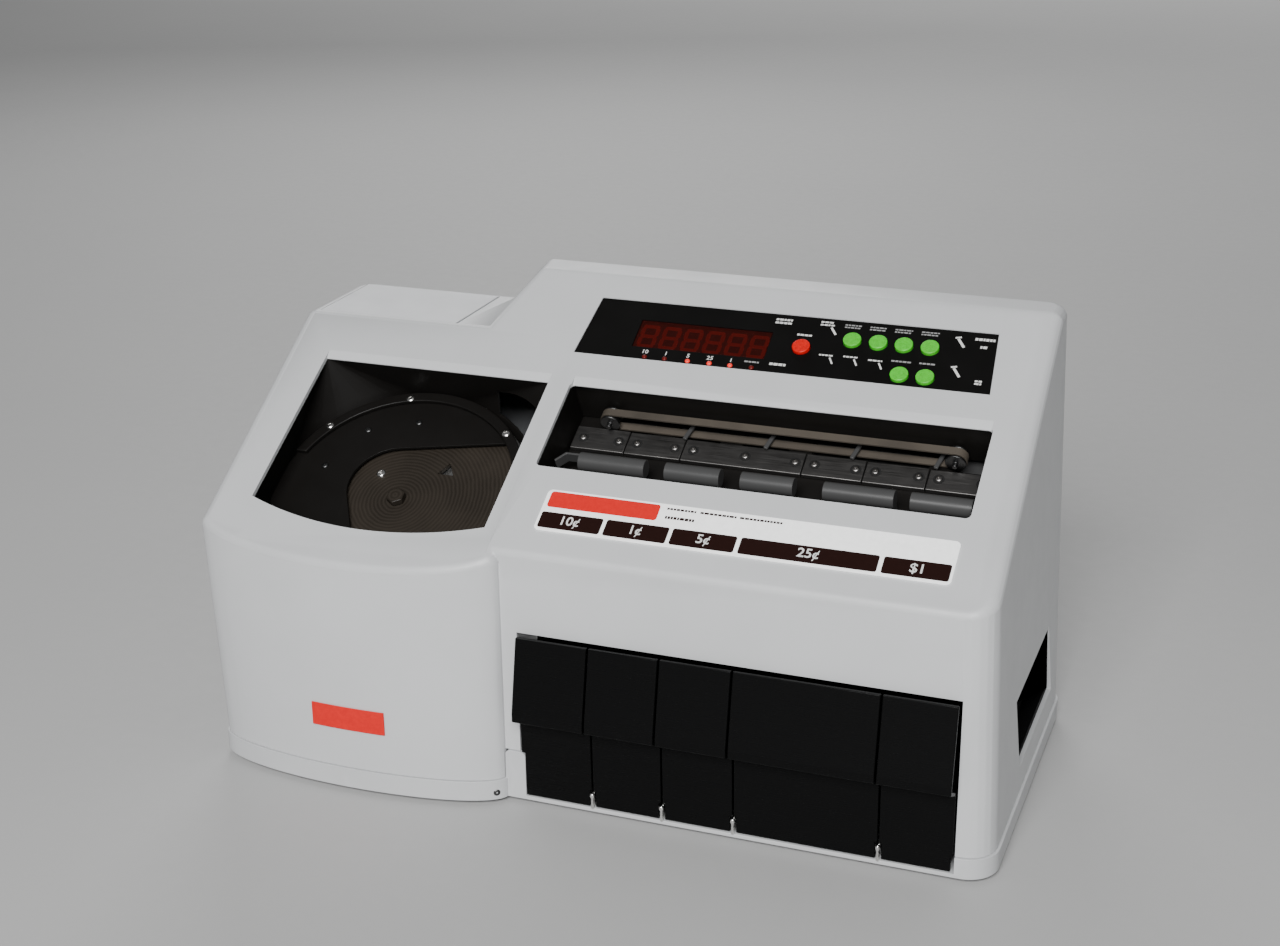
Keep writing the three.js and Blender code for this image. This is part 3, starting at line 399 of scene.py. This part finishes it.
def settled(mesh, modifiers, angle=32.0):
    """The mesh with modifiers applied. Each modifier is (kind, settings)."""
    shade(mesh, angle)
    holder = bpy.data.objects.new("holder", mesh)
    bpy.context.scene.collection.objects.link(holder)
    for kind, settings in modifiers:
        modifier = holder.modifiers.new(kind.lower(), kind)
        for key, value in settings.items():
            setattr(modifier, key, value)
    bpy.context.view_layer.update()
    graph = bpy.context.evaluated_depsgraph_get()
    result = bpy.data.meshes.new_from_object(holder.evaluated_get(graph), depsgraph=graph)
    bpy.data.objects.remove(holder)
    return result


def bevelled(mesh, width, segments=2, angle=28.0, smooth=32.0):
    """A copy of the mesh with its sharp edges rounded. width is in millimetres."""
    bevel = {"width": width * MM, "segments": segments, "limit_method": "ANGLE",
             "angle_limit": math.radians(angle), "use_clamp_overlap": True, "miter_outer": "MITER_ARC"}
    return settled(mesh, [("BEVEL", bevel), ("WEIGHTED_NORMAL", {"keep_sharp": True})], smooth)


def mesh_from(work, matrix, name="part"):
    """A mesh from a bmesh drawn in millimetres, moved into the row's frame."""
    bmesh.ops.recalc_face_normals(work, faces=work.faces[:])
    work.transform(matrix)
    if matrix.to_3x3().determinant() < 0:
        bmesh.ops.reverse_faces(work, faces=work.faces[:])
    mesh = bpy.data.meshes.new(name)
    work.to_mesh(mesh)
    work.free()
    return mesh


def prism(outline, low, high):
    """A bmesh: an outline of (x, y) points carried from z = low to z = high."""
    work = bmesh.new()
    bottom = [work.verts.new((x, y, low)) for x, y in outline]
    top = [work.verts.new((x, y, high)) for x, y in outline]
    work.faces.new(bottom)
    work.faces.new(top)
    count = len(outline)
    for i in range(count):
        work.faces.new((bottom[i], bottom[(i + 1) % count], top[(i + 1) % count], top[i]))
    return work


def circle(x, y, radius, count=32, start=0.0):
    turn = 2 * math.pi / count
    return [(x + radius * math.cos(start + i * turn), y + radius * math.sin(start + i * turn))
            for i in range(count)]


def rounded(x0, x1, y0, y1, radius, steps=5):
    """A rectangle's outline with round corners."""
    corners = (
        (x1 - radius, y0 + radius, -90), (x1 - radius, y1 - radius, 0),
        (x0 + radius, y1 - radius, 90), (x0 + radius, y0 + radius, 180),
    )
    return [(cx + radius * math.cos(math.radians(start + 90 * i / steps)),
             cy + radius * math.sin(math.radians(start + 90 * i / steps)))
            for cx, cy, start in corners for i in range(steps + 1)]


def lathe(profile, sides=40):
    """A bmesh turned about z from (radius, height) points that start and end on the axis."""
    work = bmesh.new()
    rings = []
    for radius, height in profile:
        if radius == 0:
            rings.append([work.verts.new((0, 0, height))])
        else:
            rings.append([work.verts.new((x, y, height)) for x, y in circle(0, 0, radius, sides)])
    for lower, upper in zip(rings, rings[1:]):
        for i in range(sides):
            j = (i + 1) % sides
            below = [lower[i % len(lower)], lower[j % len(lower)]]
            above = [upper[j % len(upper)], upper[i % len(upper)]]
            work.faces.new(list(dict.fromkeys(below + above)))
    return work


def slab(x0, x1, y0, y1, z0, z1):
    return prism([(x0, y0), (x1, y0), (x1, y1), (x0, y1)], z0, z1)


def joined(works):
    """One bmesh from several separate closed ones."""
    total = bmesh.new()
    for work in works:
        mesh = bpy.data.meshes.new("link")
        work.to_mesh(mesh)
        work.free()
        total.from_mesh(mesh)
        bpy.data.meshes.remove(mesh)
    return total


# ------------------------------------------------------------------ CAD nodes, refined

WELD = 0.00002  # metres


def merged_mesh(node, join_faces):
    """The CAD node's mesh with its corners merged, as a bmesh; join_faces also joins its flat faces."""
    work = bmesh.new()
    work.from_mesh(NODES[node].data)
    bmesh.ops.remove_doubles(work, verts=work.verts[:], dist=WELD)
    if join_faces:
        flat = math.radians(0.3)
        bmesh.ops.dissolve_limit(work, angle_limit=flat, verts=work.verts[:], edges=work.edges[:])
    return work


def refine(node, material, width=0.5, width_at=None, segments=2, smooth=32.0, least_angle=24.0,
           join_faces=True):
    """Replaces a CAD node by the same shape with rounded edges.

    width is the rounding in millimetres. width_at(point, edge) may give another for each edge.
    join_faces is off where a flat face has holes in it, which a joined face would cover.
    """
    work = merged_mesh(node, join_faces)
    weights = work.edges.layers.float.new("bevel_weight_edge")
    widths = {}
    for edge in work.edges:
        if len(edge.link_faces) != 2 or edge.calc_face_angle(0) < math.radians(least_angle):
            continue
        point = TO_MACHINE @ ((edge.verts[0].co + edge.verts[1].co) / 2)
        widths[edge] = width_at(point, edge) if width_at else width
    widest = max([*widths.values(), 0.001])
    for edge, value in widths.items():
        edge[weights] = value / widest
    mesh = bpy.data.meshes.new(node + "_shape")
    work.to_mesh(mesh)
    work.free()
    bevel = {"width": widest * MM, "segments": segments, "limit_method": "WEIGHT",
             "use_clamp_overlap": True, "miter_outer": "MITER_ARC"}
    mesh = settled(mesh, [("BEVEL", bevel), ("WEIGHTED_NORMAL", {"keep_sharp": True})], smooth)
    body = body_of(NODES[node])
    if not isinstance(body, str):
        body = body[0]
    return new_piece(node + "_form", mesh, body, material, (node,))


NEAR = 0.3  # a point this close to a surface counts as on it
ON_SLOPE = 0.25
WINDOW_REBATE = 2.0


def cover_width(point, edge):
    """Rounding for each sharp edge of the top cover; its large roundings are already in the CAD."""
    x, y, z = point
    lift = (TO_SLOPE @ (MACHINE @ point)).z
    if not edge.is_convex:
        return 0.0
    if abs(z - HOPPER_TOP_Z) < NEAR or abs(z - (SKIRT_H + 0.3)) < NEAR:
        return 0.35
    if abs(lift) < ON_SLOPE or abs(lift + WINDOW_REBATE) < NEAR:
        return 0.8
    if min(x + HOPPER_W, SORTER_W - x) < NEAR or y < NEAR:
        return 1.0
    return 0.25


def pan_width(point, edge):
    """The skirt's lower edge is rounded more than the rest of the pan."""
    if point.z < 0.6:
        return 1.6
    return 0.7


def build_cover():
    refine("top_cover", CASE, width_at=cover_width, segments=3, smooth=34.0, least_angle=26.0)
    refine("base_pan", CASE, width_at=pan_width, segments=3, smooth=40.0)
    refine("printer_bay_cover", BAY_CASE, 0.4)
    refine("rear_panel", SHEET, 0.35, join_faces=False)
    refine("grip_left", GLOSS, 0.8)
    refine("grip_right", GLOSS, 0.8)
    refine("front_badge", INK_RED, 0.25, smooth=20.0)


def drawer_width(point, edge):
    """The overhanging front panel is rounded most, and the bin behind it least."""
    if point.y < -8:
        return 1.6
    if point.y < 2.2:
        return 0.8
    return 0.3


def build_drawers():
    for index in range(1, 6):
        refine(f"coin_drawer_{index}", DRAWER, width_at=drawer_width, segments=3)
    refine("drawer_guides", BRIGHT, 0.25)


def build_hopper():
    refine("hopper_bowl", INNER, 0.6)
    refine("disc_shroud", INNER, 0.35)
    refine("shroud_ring", INNER, 0.5)
    refine("hopper_disc", DISC, 0.4)
    refine("disc_nut", DISC, 0.5)
    refine("motor_plate", STEEL, 0.3)
    refine("disc_gearmotor", ZINC, 0.6)
    refine("disc_shaft", STEEL, 0.2)


def build_track():
    refine("track_deck", INNER, 0.4)
    for index in range(1, 7):
        refine(f"sort_plate_{index}", PLATE, 0.4)
    refine("transport_belt", BELT, 0.25)
    refine("drive_pulley", DARK_STEEL, 0.3)
    refine("idler_pulley", DARK_STEEL, 0.3)
    refine("belt_beam", INNER, 0.4)
    refine("belt_motor", ZINC, 0.5)
    for index in range(1, 6):
        refine(f"coin_chute_{index}", CHUTE, 0.4)
    refine("side_plate_left", DARK_STEEL, 0.2)
    refine("side_plate_right", DARK_STEEL, 0.2)


def build_electrics():
    refine("power_inlet", GLOSS, 0.4)
    refine("power_rocker", GLOSS, 0.5)
    refine("main_board", BOARD, 0.2)
    refine("power_transformer", LAMINATE, 0.6)
    refine("control_board", BOARD, 0.2)
    refine("display_module", DISPLAY_DARK, 0.3)


def build_panel():
    refine("control_panel", PANEL, 0.25)
    refine("display_window", WINDOW, 0.2)
    refine("label_plate", GLOWING_LABEL_WHITE, 0.15)


# ------------------------------------------------------------------ added detail

def strokes(name, outlines, n_low, n_high, material, body="cabinet"):
    """Several thin plates on the slope, as one piece."""
    work = joined([prism(outline, n_low, n_high) for outline in outlines])
    return new_piece(name, mesh_from(work, SLOPE, name), body, material)


def bar(x0, s0, x1, s1, width):
    """The outline of a straight stroke between two points."""
    along = Vector((x1 - x0, s1 - s0)).normalized() * width / 2
    across = Vector((-along.y, along.x))
    first, last = Vector((x0, s0)), Vector((x1, s1))
    return [tuple(p) for p in (first + across, first - across, last - across, last + across)]


def text_outline_mesh(text, size, depth, weight=0.0):
    """The built-in font's text as a closed mesh centred on the origin, in millimetres."""
    curve = bpy.data.curves.new("text", "FONT")
    curve.body = text
    curve.size = size
    curve.extrude = depth / 2
    curve.offset = weight
    curve.resolution_u = 3
    curve.align_x = "CENTER"
    curve.align_y = "CENTER"
    holder = bpy.data.objects.new("text", curve)
    bpy.context.scene.collection.objects.link(holder)
    bpy.context.view_layer.update()
    graph = bpy.context.evaluated_depsgraph_get()
    mesh = bpy.data.meshes.new_from_object(holder.evaluated_get(graph), depsgraph=graph)
    bpy.data.objects.remove(holder)
    work = bmesh.new()
    work.from_mesh(mesh)
    bmesh.ops.remove_doubles(work, verts=work.verts[:], dist=0.0005)
    low = Vector(min(v.co[i] for v in work.verts) for i in range(3))
    high = Vector(max(v.co[i] for v in work.verts) for i in range(3))
    bmesh.ops.translate(work, verts=work.verts[:], vec=-(low + high) / 2)
    return work


def numerals(name, entries, size, n_mid, depth, material, weight=0.0):
    """Numerals on the slope as one piece. Each entry is (text, x, s)."""
    works = []
    for text, x, s in entries:
        work = text_outline_mesh(text, size, depth, weight)
        work.transform(Matrix.Translation((x, s, n_mid)))
        works.append(work)
    return new_piece(name, mesh_from(joined(works), SLOPE, name), "cabinet", material)


def screw_work(radius, height=1.1, sides=28):
    """A domed screw head with a sunk drive, standing on z = 0."""
    dome = [(0, 0), (1, 0), (1, 0.35), (0.86, 0.72), (0.62, 1)]
    drive = [(0.40, 1), (0.34, 0.45), (0, 0.35)]
    return lathe([(radius * across, height * up) for across, up in dome + drive], sides)


def screws(name, places, radius, matrix, material, body="cabinet", height=1.1):
    """Screw heads at (x, y, z) places, all facing along the matrix's own z."""
    works = []
    for place in places:
        work = screw_work(radius, height)
        work.transform(Matrix.Translation(place) @ Matrix.Rotation(random.uniform(0, math.pi), 4, "Z"))
        works.append(work)
    mesh = mesh_from(joined(works), matrix, name)
    shade(mesh, 40.0)
    return new_piece(name, mesh, body, material)


SEGMENT_STROKE, SEGMENT_GAP = 3.1, 0.25
DIGITS = 6
DIGIT_LOW, DIGIT_HIGH = -2.77, -2.55
LAMPS = {"lit": (65.8, 79.4, 92.3), "dark": (38.6, 51.3, 105.5)}
LAMP_ROW, NUMBER_ROW = 154.2, 158.6


def digit_outlines(x, s, width, height):
    """The seven strokes of a figure eight."""
    half_stroke = SEGMENT_STROKE / 2
    thin = half_stroke - SEGMENT_GAP
    w, h = width / 2 - half_stroke, height / 2 - half_stroke
    reach = w - SEGMENT_GAP
    tip = reach + SEGMENT_STROKE / 3
    strokes_of_eight = []
    for level in (s - h, s, s + h):
        strokes_of_eight.append([
            (x - reach, level - thin), (x + reach, level - thin), (x + tip, level),
            (x + reach, level + thin), (x - reach, level + thin), (x - tip, level)])
    for side in (x - w, x + w):
        for low, high in ((s - h, s), (s, s + h)):
            foot, head = low + half_stroke, high - half_stroke
            strokes_of_eight.append([
                (side, low + SEGMENT_GAP), (side + thin, foot), (side + thin, head),
                (side, high - SEGMENT_GAP), (side - thin, head), (side - thin, foot)])
    return strokes_of_eight


def build_display():
    x0, x1, s0, s1 = DISPLAY
    pitch = (x1 - x0) / DIGITS
    outlines = []
    for index in range(DIGITS):
        outlines += digit_outlines(x0 + pitch * (index + 0.5), (s0 + s1) / 2, pitch - 1.6, s1 - s0 - 3.0)
    strokes("display_digits", outlines, DIGIT_LOW, DIGIT_HIGH, DIGIT)
    lens = [(0, 0), (1.5, 0), (1.5, 0.5), (1.1, 0.95), (0.5, 1.15), (0, 1.2)]
    for state, places in LAMPS.items():
        works = []
        for x in places:
            work = lathe(lens, 20)
            work.transform(Matrix.Translation((x, LAMP_ROW, PANEL_FACE)))
            works.append(work)
        mesh = mesh_from(joined(works), SLOPE, "lamps_" + state)
        shade(mesh, 50.0)
        new_piece("lamps_" + state, mesh, "cabinet", LED_ON if state == "lit" else LED_OFF)


INK_LOW, INK_HIGH = PANEL_FACE + 0.02, PANEL_FACE + 0.08

# Small print on the panel: (x, s) of its middle, width, rows, dash width and row pitch.
GREY_PRINT = [(x, 194.3, 10.5, 2, 0.95, 1.9) for x in (157.8, 173.0, 188.0, 203.8)] + [
    (191.8, 170.6, 12.0, 1, 1.2, 1.9),
    (207.0, 170.8, 9.5, 1, 1.2, 1.9),
    (104.5, 158.8, 9.0, 1, 1.2, 1.9),
]
LEFT_SWITCHES = ((147.0, 169.8), (161.5, 170.3), (176.5, 169.4))
RIGHT_SWITCHES = ((220.6, 192.6), (222.6, 169.6))
WHITE_PRINT = [
    (115.5, 193.4, 10.5, 2, 1.5, 2.6),
    (130.3, 184.0, 9.0, 1, 1.4, 1.9),
    (142.0, 194.8, 8.5, 2, 1.2, 2.2),
    (120.3, 158.9, 10.0, 1, 1.8, 1.9),
    (236.3, 193.6, 12.0, 1, 1.9, 1.9),
    (236.6, 187.6, 4.5, 1, 1.9, 1.9),
    *((x, s, 8.5, 1, 1.1, 1.9) for x, s in LEFT_SWITCHES),
    (238.4, 160.4, 4.0, 2, 1.3, 2.0),
]


def print_rows(x, s, width, rows, dash, pitch):
    """Rows of short dashes that stand for small print."""
    outlines = []
    for row in range(rows):
        level = s + (rows - 1 - 2 * row) * pitch / 2
        start = x - width / 2
        while start < x + width / 2 - 0.8:
            length = min(random.uniform(1.1, 2.6), x + width / 2 - start)
            outlines.append(bar(start, level, start + length, level, dash))
            start += length + 0.45
    return outlines


def build_legends():
    numbers = [(text, x, NUMBER_ROW) for text, x in
               (("10", 38.0), ("1", 51.0), ("5", 65.0), ("25", 78.6), ("1", 91.8))]
    numerals("lamp_numbers", numbers, 4.2, (INK_LOW + INK_HIGH) / 2, 0.06, INK_WHITE, 0.05)
    grey = [outline for block in GREY_PRINT for outline in print_rows(*block)]
    strokes("key_legends", grey, INK_LOW, INK_HIGH, INK_GREY)
    white = [outline for block in WHITE_PRINT for outline in print_rows(*block)]
    white += [bar(x + 2.5, s - 1.6, x + 5.0, s - 6.2, 1.0) for x, s in LEFT_SWITCHES]
    white.append(bar(144.8, 192.0, 148.6, 186.6, 1.3))
    for x, s in RIGHT_SWITCHES:
        white.append(bar(x, s, x + 4.4, s - 6.4, 1.5))
        white.append(bar(x - 1.8, s + 0.6, x + 1.6, s + 1.4, 1.2))
    strokes("panel_marks", white, INK_LOW, INK_HIGH, INK_WHITE)


# The label: its black blocks, the red band over them and the coin values in the blocks.
LABEL_BLOCKS = ((16.6, 53.8), (56.0, 93.0), (95.2, 132.4), (134.8, 212.2), (214.6, 251.2))
LABEL_BAND = (17.4, 83.4, 34.0, 45.2)
VALUES = ("10\u00a2", "1\u00a2", "5\u00a2", "25\u00a2", "$1")
LABEL_PRINT = (
    (96.0, 43.3, 17.0, 1.3), (117.5, 43.3, 21.0, 1.3), (142.5, 43.3, 25.0, 1.3), (96.5, 37.2, 17.0, 1.8),
)


def build_label():
    low, high = LABEL_FACE + 0.01, LABEL_FACE + 0.08
    blocks = [rounded(x0, x1, 19.2, 30.4, 1.3) for x0, x1 in LABEL_BLOCKS]
    strokes("label_blocks", blocks, low, high, INK_BLACK)
    strokes("label_band", [rounded(*LABEL_BAND, 1.8)], low, high, INK_RED)
    small = []
    for x, s, width, dash in LABEL_PRINT:
        small += print_rows(x, s, width, 1, dash, 1.9)
    strokes("label_small_print", small, low, high, INK_BLACK)
    values = [(text, (x0 + x1) / 2, 24.8) for text, (x0, x1) in zip(VALUES, LABEL_BLOCKS)]
    numerals("label_values", values, 8.6, high + 0.04, 0.06, INK_WHITE, 0.12)


# Screws in the hopper, by the surface that they stand on.
RING_TOP, SHROUD_TOP = -26.2, -29.2
RING_SCREWS = ((-156.4, 94.1), (-112.1, 122.8), (-40.2, 104.2))
SHROUD_SCREWS = ((-100.7, 106.7), (-148.1, 64.8), (-131.5, 96.2))
DISC_SCREW = (-111.9, 67.4)


def build_hopper_detail():
    on_ring = [(x, s, RING_TOP) for x, s in RING_SCREWS]
    screws("ring_screws", on_ring, 2.7, SLOPE, BRIGHT)
    on_shroud = [(x, s, SHROUD_TOP) for x, s in SHROUD_SCREWS]
    screws("shroud_screws", on_shroud, 2.2, SLOPE, DARK_STEEL)
    screws("disc_screw", [(*DISC_SCREW, DISC_TOP)], 3.0, SLOPE, BRIGHT, "disc_assembly", 1.4)


PLATE_SCREW_S = 111.8
WIDE_PLATE_SCREW_X = 109.0  # the third plate has a screw in its middle too
SENSOR_ARMS = (70.0, 120.0, 172.0, 221.0)
SENSOR_ARM_S = 124.0
SENSOR_ARM_TURN = math.radians(-14)


def build_track_detail():
    top = DECK_TOP + 3.3
    screw_xs = []
    for x0, x1 in zip(PLATE_ENDS, PLATE_ENDS[1:]):
        screw_xs += [x0 + 6.4, x1 - 5.2]
    screw_xs.insert(6, WIDE_PLATE_SCREW_X)
    places = [(x, PLATE_SCREW_S, top) for x in screw_xs]
    # A thin black disc under each plate screw: painted shade in place of the dark of its hole.
    painted_hole_shade = joined([prism(circle(x, s, 3.3, 28), z, z + 0.25) for x, s, z in places])
    new_piece("plate_screw_painted_hole_shade", mesh_from(painted_hole_shade, SLOPE, "painted_hole_shade"), "cabinet", HOLE_SHADE)
    screws("plate_screws", [(x, s, z + 0.25) for x, s, z in places], 2.3, SLOPE, WORN_STEEL)
    arms = []
    for x in SENSOR_ARMS:
        arm = slab(-1.3, 1.3, -6.5, 6.5, -29.4, -27.6)
        turned = Matrix.Rotation(SENSOR_ARM_TURN, 4, "Z")
        arm.transform(Matrix.Translation((x + 1.5, SENSOR_ARM_S, 0)) @ turned)
        arms.append(arm)
    arm_mesh = bevelled(mesh_from(joined(arms), SLOPE, "arms"), 0.5)
    new_piece("coin_sensor_arms", arm_mesh, "cabinet", CHUTE)
    guide = [(1.2, 82.0), (6.6, 88.6), (15.8, 88.6), (15.8, 87.2), (7.4, 87.2), (2.4, 81.0)]
    guide_mesh = bevelled(mesh_from(prism(guide, -24, -17), SLOPE, "guide"), 0.3)
    new_piece("lead_in_guide", guide_mesh, "cabinet", CHUTE)


LINER = (-0.9, 254.7, 61.6, 131.0)  # its left, right, lower and upper walls on the slope
LINER_WALL, LINER_TOP = 0.7, -2.8


def build_track_liner():
    """Black walls that close the gaps between the window's rim and the track."""
    x0, x1, s0, s1 = LINER
    ends = [slab(x, x + LINER_WALL, s0, s1, -33.5, LINER_TOP) for x in (x0, x1)]
    left, right = x0 + LINER_WALL + 0.1, x1 - 0.1
    lower = slab(left, right, s0, s0 + LINER_WALL, -22.0, LINER_TOP)
    upper = slab(left, right, s1 - LINER_WALL, s1, -33.0, LINER_TOP)
    walls = [*ends, lower, upper]
    new_piece("track_liner", mesh_from(joined(walls), SLOPE, "liner"), "cabinet", INNER)


def build_front_detail():
    shaft = [(0, 2.8), (0.85, 2.8), (0.85, 9.2)]
    head = [(1.15, 9.6), (1.5, 10.6), (1.35, 11.8), (0.8, 12.5), (0, 12.7)]
    pins = []
    for x in DRAWER_SPLITS[1:-1]:
        pin = lathe(shaft + head, 20)
        pin.transform(Matrix.Translation((x, -2.0, 0)))
        pins.append(pin)
    mesh = mesh_from(joined(pins), MACHINE, "pins")
    shade(mesh, 40.0)
    new_piece("guide_pins", mesh, "cabinet", BRIGHT)
    outward = Matrix.Rotation(math.radians(90), 4, "X")
    turned = Matrix.Rotation(math.radians(37), 4, "Z")
    place = MACHINE @ Matrix.Translation((-3.4, -7.0, 4.6)) @ turned @ outward
    screws("skirt_screw", [(0, 0, 0)], 2.1, place, DARK_STEEL, "cabinet", 0.9)


# Screws in the rear panel, as (x, z), and under the pan, as (x, y).
REAR_SCREWS = (
    (-164, 24), (-164, 150), (-164, 222), (-70, 24), (60, 24), (60, 240), (256, 24), (256, 150), (256, 250),
    (-60, 222),
)
PAN_SCREWS = ((-170, 40), (-40, 60), (60, 30), (180, 30), (-40, 200), (100, 200))
PANEL_RECESS = 1.5


def build_rear_detail():
    backward = Matrix.Rotation(math.radians(-90), 4, "X")
    rear = MACHINE @ Matrix.Translation((0, DEPTH - PANEL_RECESS, 0)) @ backward
    screws("rear_screws", [(x, -z, 0) for x, z in REAR_SCREWS], 3.0, rear, STEEL)
    under = MACHINE @ Matrix.Rotation(math.radians(180), 4, "X")
    screws("pan_screws", [(x, -y, 0) for x, y in PAN_SCREWS], 3.2, under, STEEL)


# ------------------------------------------------------------------ stage, light and camera

CAMERA_AZIMUTH, CAMERA_ELEVATION, CAMERA_ROLL = 20.68, 20.69, -0.57
CAMERA_PLACE = (438.9, -936.8, 590.7)  # machine millimetres
CAMERA_LENS = 56.17
FLOOR_REACH, FLOOR_THICK = 9.0, 0.02  # metres
AIM = (0, 0, 0.12)  # what the key and rear lights face


def build_camera():
    azimuth, elevation, roll = (math.radians(v) for v in (CAMERA_AZIMUTH, CAMERA_ELEVATION, CAMERA_ROLL))
    back = Vector((math.sin(azimuth) * math.cos(elevation), -math.cos(azimuth) * math.cos(elevation),
                   math.sin(elevation)))
    right = Vector((math.cos(azimuth), math.sin(azimuth), 0))
    up = back.cross(right)
    turned_right = math.cos(roll) * right + math.sin(roll) * up
    turned_up = -math.sin(roll) * right + math.cos(roll) * up
    data = bpy.data.cameras.new("camera")
    data.lens = CAMERA_LENS
    data.sensor_width = 36.0
    data.clip_start = 0.01
    data.clip_end = 30.0
    camera = bpy.data.objects.new("camera", data)
    bpy.context.scene.collection.objects.link(camera)
    axes = Matrix((turned_right, turned_up, back)).transposed().to_4x4()
    camera.matrix_world = Matrix.Translation(MACHINE @ Vector(CAMERA_PLACE)) @ axes
    bpy.context.scene.camera = camera


def area_light(name, place, target, size, power):
    data = bpy.data.lights.new(name, "AREA")
    data.shape = "RECTANGLE"
    data.size, data.size_y = size
    data.energy = power
    light = bpy.data.objects.new(name, data)
    bpy.context.scene.collection.objects.link(light)
    aim = (Vector(target) - Vector(place)).to_track_quat("-Z", "Y").to_matrix().to_4x4()
    light.matrix_world = Matrix.Translation(place) @ aim


def build_stage():
    floor_work = slab(-FLOOR_REACH, FLOOR_REACH, -FLOOR_REACH, FLOOR_REACH, -FLOOR_THICK, 0.0)
    floor_mesh = mesh_from(floor_work, Matrix.Identity(4), "floor")
    floor = bpy.data.objects.new("floor", floor_mesh)
    bpy.context.scene.collection.objects.link(floor)
    floor_mesh.materials.append(floor_material("floor_look"))
    world = bpy.data.worlds.new("studio")
    bpy.context.scene.world = world
    world.use_nodes = True
    background = world.node_tree.nodes["Background"]
    background.inputs["Color"].default_value = (0.86, 0.87, 0.88, 1)
    background.inputs["Strength"].default_value = 0.17
    area_light("key_light", (0.5, -2.55, 1.95), AIM, (1.6, 1.1), 150)
    area_light("back_light", (0, 4.2, 2.4), (0, 4.8, 0), (5.0, 1.4), 90)
    area_light("rear_light", (-0.9, 2.0, 1.3), AIM, (1.2, 0.8), 16)


# ------------------------------------------------------------------ the whole scene

build_camera()
build_stage()
build_cover()
build_drawers()
build_hopper()
build_track()
build_panel()
build_electrics()
build_display()
build_legends()
build_label()
build_hopper_detail()
build_track_detail()
build_track_liner()
build_front_detail()
build_rear_detail()
for corner in range(1, 5):
    refine(f"rubber_foot_{corner}", RUBBER, 0.6)
refine("stop_button", KEY_RED, 0.5)
for key_name in GREEN_KEYS:
    refine(key_name, KEY_GREEN, 0.5)
